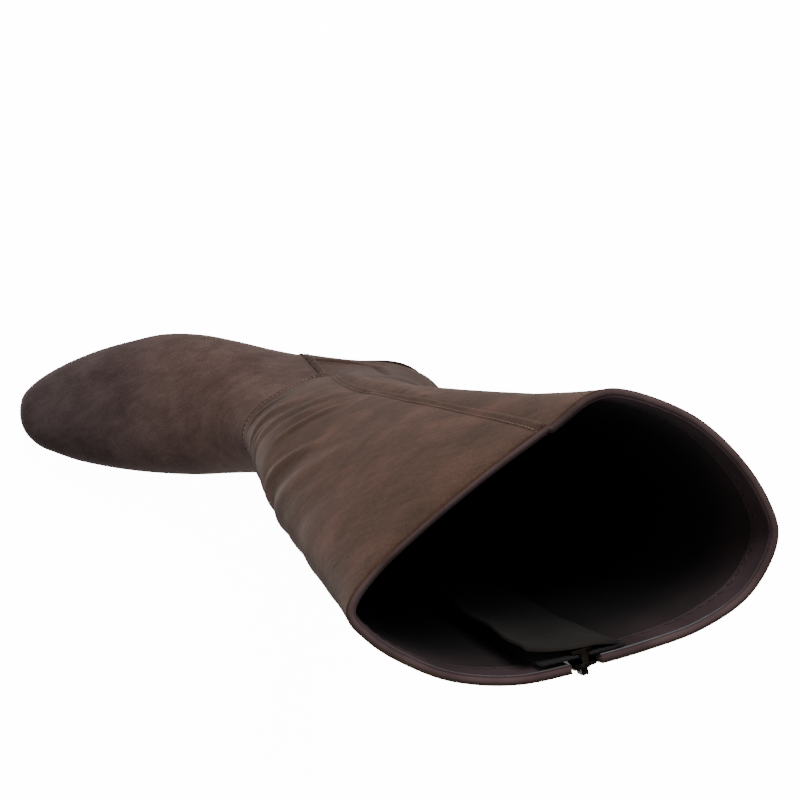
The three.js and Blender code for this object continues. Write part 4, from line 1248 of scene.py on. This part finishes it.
@dataclass
class Bottom:
    """What the boot stands on: the sole in two layers, the insole, the covered heel and its top piece.

    Attributes:
        last, finishes: The form and the materials.
        margin: How far the sole's ledge stands out, and undercut how far the tread lies back under it.
        ledge, sock: Thickness of the sole's upper layer and of the insole's sock.
        sock_inset: How far the sock stays inside the outline.
        gap: Clearance between layers.
        top_piece: Thickness of the heel's top piece.
        stations, across: Corners along the sheets and across them.
    """

    last: Last
    finishes: Finishes
    margin: float = 0.3
    undercut: float = 0.5
    ledge: float = 2.2
    sock: float = 2.5
    sock_inset: float = 2.6
    gap: float = 0.3
    top_piece: float = 6.0
    stations: int = 150
    across: int = 17

    def outline(self) -> tuple[np.ndarray, np.ndarray]:
        """The inner and outer halves of the plan outline at the feather line, from toe to heel."""

        def over(place: np.ndarray, turn: np.ndarray) -> np.ndarray:
            point = self.last.surface(place, turn)
            return point[..., 2] > self.last.feather(point[..., 0])

        end = halve(np.array(9.0), np.array(22.0), lambda place: ~over(place, 180.0), 30)[0]
        places = end * (1 - np.cos(np.pi * np.linspace(0, 1, self.stations))) / 2
        low, high = np.full(self.stations, 60.0), np.full(self.stations, 180.0)
        halves = []
        for side in (1, -1):
            turn = halve(low, high, lambda turn, side=side: over(places, side * turn))[0]
            halves.append(self.last.surface(places, side * turn)[:, :2])
        return halves[0], halves[1]

    def sheet(self, margin: float, height: float) -> np.ndarray:
        """A sheet over the outline, grown by a margin and lifted over the feather line by a height."""
        inner, outer = self.outline()
        loop = np.concatenate((inner, outer[::-1]))
        ahead, behind = np.roll(loop, -1, axis=0), np.roll(loop, 1, axis=0)
        way = ahead - behind
        way /= np.linalg.norm(way, axis=1, keepdims=True) + 1e-9
        loop = loop + np.stack((way[:, 1], -way[:, 0]), axis=1) * margin
        count = len(inner)
        inner, outer = loop[:count], loop[count:][::-1]
        share = np.linspace(0, 1, self.across)[:, None, None]
        flat = outer + (inner - outer) * share
        z = self.last.feather(flat[..., 0]) + height
        return np.concatenate((flat, z[..., None]), axis=-1)

    def soles(self) -> None:
        """The sole's ledge and its tread, and the insole with its sock."""
        half = self.gap / 2
        sole, lining = self.finishes.sole, self.finishes.lining
        tread = SOLE_THICKNESS - self.ledge + 0.1
        layers = (
            ("sole_ledge", self.margin, -half, self.ledge - half, sole, "sole"),
            ("sole_tread", self.margin - self.undercut, 0.1 - self.ledge, tread, sole, "sole"),
            ("insole_sock", -self.sock_inset, half + self.sock, self.sock, lining, "lining"),
        )
        for name, margin, height, thickness, material, slot in layers:
            piece = put(weave(self.sheet(margin, height), merged=True), name, material)
            wall(piece, thickness)
            soften(piece, 0.35)
        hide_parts("outsole")
        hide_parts("insole")

    def ring(self, up: np.ndarray, angle: np.ndarray) -> np.ndarray:
        """Level points of the heel: round at the back, square at the breast.

        Args:
            up: Share of the heel's height.
            angle: Radians round it from the front.

        Returns:
            Places in plan.
        """
        table = np.array(HEEL_SECTIONS)
        back, breast, half = (np.interp(up, table[:, 0], table[:, n]) * HEEL_WIDTH for n in (1, 2, 3))
        c, s = np.cos(angle), np.sin(angle)
        power = 2 / np.where(c > 0, 7, 2.5)
        x = np.sign(c) * np.abs(c) ** power * np.where(c > 0, breast, back)
        return np.stack((x, np.sign(s) * np.abs(s) ** power * half), axis=-1)

    def heel(self) -> None:
        """The covered heel and the top piece under it."""
        base = self.top_piece + self.gap
        height = SEAT_HEIGHT - SOLE_THICKNESS - base
        around, rise = 121, 26
        angle = np.linspace(0, 2 * np.pi, around)[:, None]
        share = np.linspace(0, 1, rise)[None, :]
        up = np.broadcast_to(share, (around, rise))
        for _ in range(4):
            plan = self.ring(up, angle)
            head = self.last.feather(plan[..., 0]) - SOLE_THICKNESS - self.gap
            z = base + share * (head - base)
            up = (z - base) / height
        block = np.concatenate((self.ring(up, angle), z[..., None]), axis=-1)
        plan = self.ring(np.zeros((around, 2)), angle)
        levels = np.tile(np.array((0.0, self.top_piece))[:, None], (around, 1, 1))
        cap = np.concatenate((plan, levels), axis=-1)
        for name, points, material, slot, node in (
            ("heel_suede", block, self.finishes.heel, "suede", "heel_block"),
            ("heel_top_lift", cap, self.finishes.sole, "sole", "heel_top_piece"),
        ):
            piece = put(weave(points, merged=True, filled=True), name, material)
            soften(piece, 0.5)
            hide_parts(node)


@dataclass
class Zip:
    """The zip on the inner side: tape, coil, stop, guard, and the metal parts of the frame.

    Attributes:
        last, line, finishes, leg: The form, the zip's course, the materials and the leg it is sewn to.
        tape_width, tape_thickness, tape_gap: The tape, and its clearance off the lining.
        pitch: From one tooth to the next.
        guard_front, guard_back: The guard's edges, ahead of the zip's middle and behind it.
        guard_seam: The stretch that is sewn to the tape.
        guard_stand: How far its free edge stands off the lining.
        guard_thickness, facing: Thickness of the guard, and of the facing near the collar.
        foot, stop: Where tape and coil begin, over the seat.
    """

    last: Last
    line: ZipLine
    finishes: Finishes
    leg: Leg
    tape_width: float = 26.0
    tape_thickness: float = 0.7
    tape_gap: float = 0.45
    pitch: float = 1.5
    guard_front: float = 17.0
    guard_back: float = 11.0
    guard_seam: float = 7.0
    guard_stand: float = 3.0
    guard_thickness: float = 1.2
    facing: float = 0.8
    foot: float = 19.0
    stop: float = 28.6

    def lining(self, place: np.ndarray) -> np.ndarray:
        """Depth of the wall's inner face along the zip."""
        thicker = self.facing * ease((place - (self.last.top - 1.8)) / 0.4)
        return self.leg.step - self.leg.wall - thicker

    def strip(self, place: np.ndarray, side: np.ndarray, depth: np.ndarray) -> np.ndarray:
        """Points beside the zip's middle, at a depth off the last."""
        return self.last.pushed(place, self.line.turn(place, side), depth)

    def tape(self) -> None:
        """The two halves of the woven tape, parted by the slider at the head."""
        low = self.line.place(SEAT_HEIGHT + self.foot)
        high = self.last.top - 0.02
        place = np.linspace(low, high, 160)[None, :]
        share = np.linspace(0, 1, 10)[:, None]
        parted = 0.06 + 1.7 * ease((place - (self.last.top - 0.42)) / 0.12)
        first = None
        for name, way in (("zip_tape_front", 1), ("zip_tape_back", -1)):
            side = way * (parted + (self.tape_width / 2 - parted) * share)
            depth = self.lining(place) - self.tape_gap + 0 * side
            points = self.strip(place + 0 * side, side, depth)
            piece = put(weave(points if way < 0 else points[::-1]), name, self.finishes.tape)
            wall(piece, self.tape_thickness)
            first = first or piece
        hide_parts("zip_tape")

    def coil(self) -> None:
        """The coil: two rows of teeth that hook into each other."""
        teeth = []
        low = self.line.place(SEAT_HEIGHT + self.stop)
        high = self.last.top - 0.36
        walk = np.linspace(low, high, 900)
        spots = self.strip(walk, 0 * walk, self.lining(walk) + 0.7)
        gone = gone_along(spots)
        count = int(gone[-1] / self.pitch)
        at = np.interp((np.arange(count) + 0.5) * self.pitch, gone, walk)
        ahead = np.interp((np.arange(count) + 1.0) * self.pitch, gone, walk)
        for way in (1, -1):
            where = at if way > 0 else ahead
            where = np.minimum(where, high)
            near = self.strip(where, np.full(count, -0.5 * way), self.lining(where) + 0.75)
            far = self.strip(where, np.full(count, 2.5 * way), self.lining(where) + 0.6)
            rise = self.last.normal(where, self.line.turn(where, 0 * where))
            for one, other, up in zip(near, far, rise, strict=True):
                teeth.append(spindle(Vector(one), Vector(other), Vector(up), 0.5, 0.62))
        piece = put(scatter(teeth, 8, 5), "zip_coil", self.finishes.coil)
        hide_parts("zip_chain")

    def guard(self) -> None:
        """The flap behind the zip, sewn along its back edge, its free edge standing off the lining."""
        low = self.line.place(SEAT_HEIGHT + self.foot)
        high = self.last.top - 0.06
        place = np.linspace(low, high, 120)[None, :]
        side = np.linspace(-self.guard_back, self.guard_front, 24)[:, None]
        seam = self.tape_gap + self.tape_thickness + 0.3
        free = self.guard_front + self.guard_back - self.guard_seam
        past = side + self.guard_back - self.guard_seam
        ramp = 1.4 * np.clip(past / self.guard_seam + 1, 0, 1)
        behind = seam + ramp + self.guard_stand * np.clip(past / free, 0, 1) ** 2
        wave = 0.5 * np.sin(place * 5.1) * np.clip(past / free, 0, 1)
        depth = self.lining(place) - behind - wave
        points = self.strip(place + 0 * side, side + 0 * place, depth)
        piece = put(weave(points[::-1]), "zip_guard_flap", self.finishes.guard)
        wall(piece, self.guard_thickness)
        soften(piece, 0.3)
        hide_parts("zip_guard")

    def metal(self) -> None:
        """The slider, its tab and the bottom stop keep the frame's shapes, with their edges rounded."""
        for name in ("zip_slider", "zip_pull_tab", "zip_bottom_stop"):
            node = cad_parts[name]
            node.data.materials.clear()
            node.data.materials.append(self.finishes.bronze)
            weld = node.modifiers.new("weld", "WELD")
            weld.merge_threshold = WELD
            soften(node, 0.18)

    def build(self) -> None:
        """Makes all of it."""
        self.tape()
        self.coil()
        self.guard()
        self.metal()


@dataclass
class Studio:
    """Plain pale floor, soft lights and the photograph's camera.

    Attributes:
        eye, ahead, right: Where the camera stands, where it looks and which way its right side points.
        lens, shift: Its focal length in millimetres and the shift of its picture.
        floor_glow, floor_spill: How bright the floor is to the camera, and to all else.
        sky: Strength of the light from all round.
    """

    eye: tuple[float, float, float] = (0.072, -0.0795, 0.728)
    ahead: tuple[float, float, float] = (-0.129, 0.109, -0.986)
    right: tuple[float, float, float] = (-0.992, -0.006, 0.129)
    lens: float = 49.5
    shift: tuple[float, float] = (-0.00375, 0.005)
    floor_glow: float = 14.0
    floor_spill: float = 0.3
    sky: float = 0.4

    def camera(self) -> None:
        """Stands the camera where the photograph was taken from."""
        data = bpy.data.cameras.new("camera")
        data.lens = self.lens
        data.sensor_width = 36
        data.shift_x, data.shift_y = self.shift
        data.clip_start = 0.01
        eye = bpy.data.objects.new("camera", data)
        bpy.context.scene.collection.objects.link(eye)
        ahead = Vector(self.ahead).normalized()
        right = Vector(self.right)
        right = (right - ahead * right.dot(ahead)).normalized()
        up = right.cross(ahead)
        place = Matrix((right, up, -ahead)).transposed().to_4x4()
        eye.matrix_world = Matrix.Translation(self.eye) @ place
        bpy.context.scene.camera = eye

    def floor(self) -> None:
        """A wide pale floor."""
        bm = bmesh.new()
        bmesh.ops.create_grid(bm, x_segments=2, y_segments=2, size=4)
        mesh = bpy.data.meshes.new("floor")
        bm.to_mesh(mesh)
        bm.free()
        # The backdrop is lit on its own: white to the eye, and little of it falls on the boot.
        paint = Paint("pale_floor")
        seen = paint.add("LightPath").outputs["Is Camera Ray"]
        glow = paint.spread(seen, wanted=(self.floor_spill, self.floor_glow))
        values = {
            "Base Color": linear("f9f9fa"),
            "Roughness": 0.9,
            "Specular IOR Level": 0.1,
            "Emission Color": (1.0, 1.0, 1.0, 1.0),
        }
        mesh.materials.append(paint.shade(values, {"Emission Strength": glow}))
        floor = bpy.data.objects.new("floor", mesh)
        bpy.context.scene.collection.objects.link(floor)

    def lamp(self, name: str, place: tuple, aim: tuple, size: float, power: float) -> None:
        """A soft square light.

        Args:
            name: Its name.
            place: Where it stands.
            aim: What it points at.
            size: Its width in metres.
            power: Its power in watts.
        """
        data = bpy.data.lights.new(name, "AREA")
        data.size = size
        data.energy = power
        lamp = bpy.data.objects.new(name, data)
        bpy.context.scene.collection.objects.link(lamp)
        lamp.location = place
        lamp.rotation_euler = (Vector(aim) - Vector(place)).to_track_quat("-Z", "Y").to_euler()

    def build(self) -> None:
        """Sets the whole stage."""
        self.camera()
        self.floor()
        world = bpy.data.worlds.new("studio")
        world.use_nodes = True
        sky = world.node_tree.nodes["Background"].inputs
        sky["Color"].default_value = (1, 1, 1, 1)
        sky["Strength"].default_value = self.sky
        bpy.context.scene.world = world
        self.lamp("key", (-0.15, -1.5, 1.4), (0.05, 0, 0.15), 0.9, 58)
        self.lamp("fill", (-1.2, 0.9, 1.4), (0, 0, 0.2), 1.4, 5)
        self.lamp("toe", (1.5, -0.3, 1.2), (0.1, 0, 0.1), 1.2, 9)


def main() -> None:
    """Builds the boot piece by piece and sets the studio round it."""
    logging.basicConfig(level=logging.INFO, format="%(name)s %(message)s")
    Studio().build()
    finishes = Finishes()
    last = Last()
    zip_line = ZipLine(last)
    leg = Leg(last, zip_line, finishes)
    leg.build()
    leg.topline()
    leg.facing()
    leg.stitching()
    Vamp(last, finishes).build()
    bottom = Bottom(last, finishes)
    bottom.soles()
    bottom.heel()
    Zip(last, zip_line, finishes, leg).build()


if __name__ == "__main__":
    main()
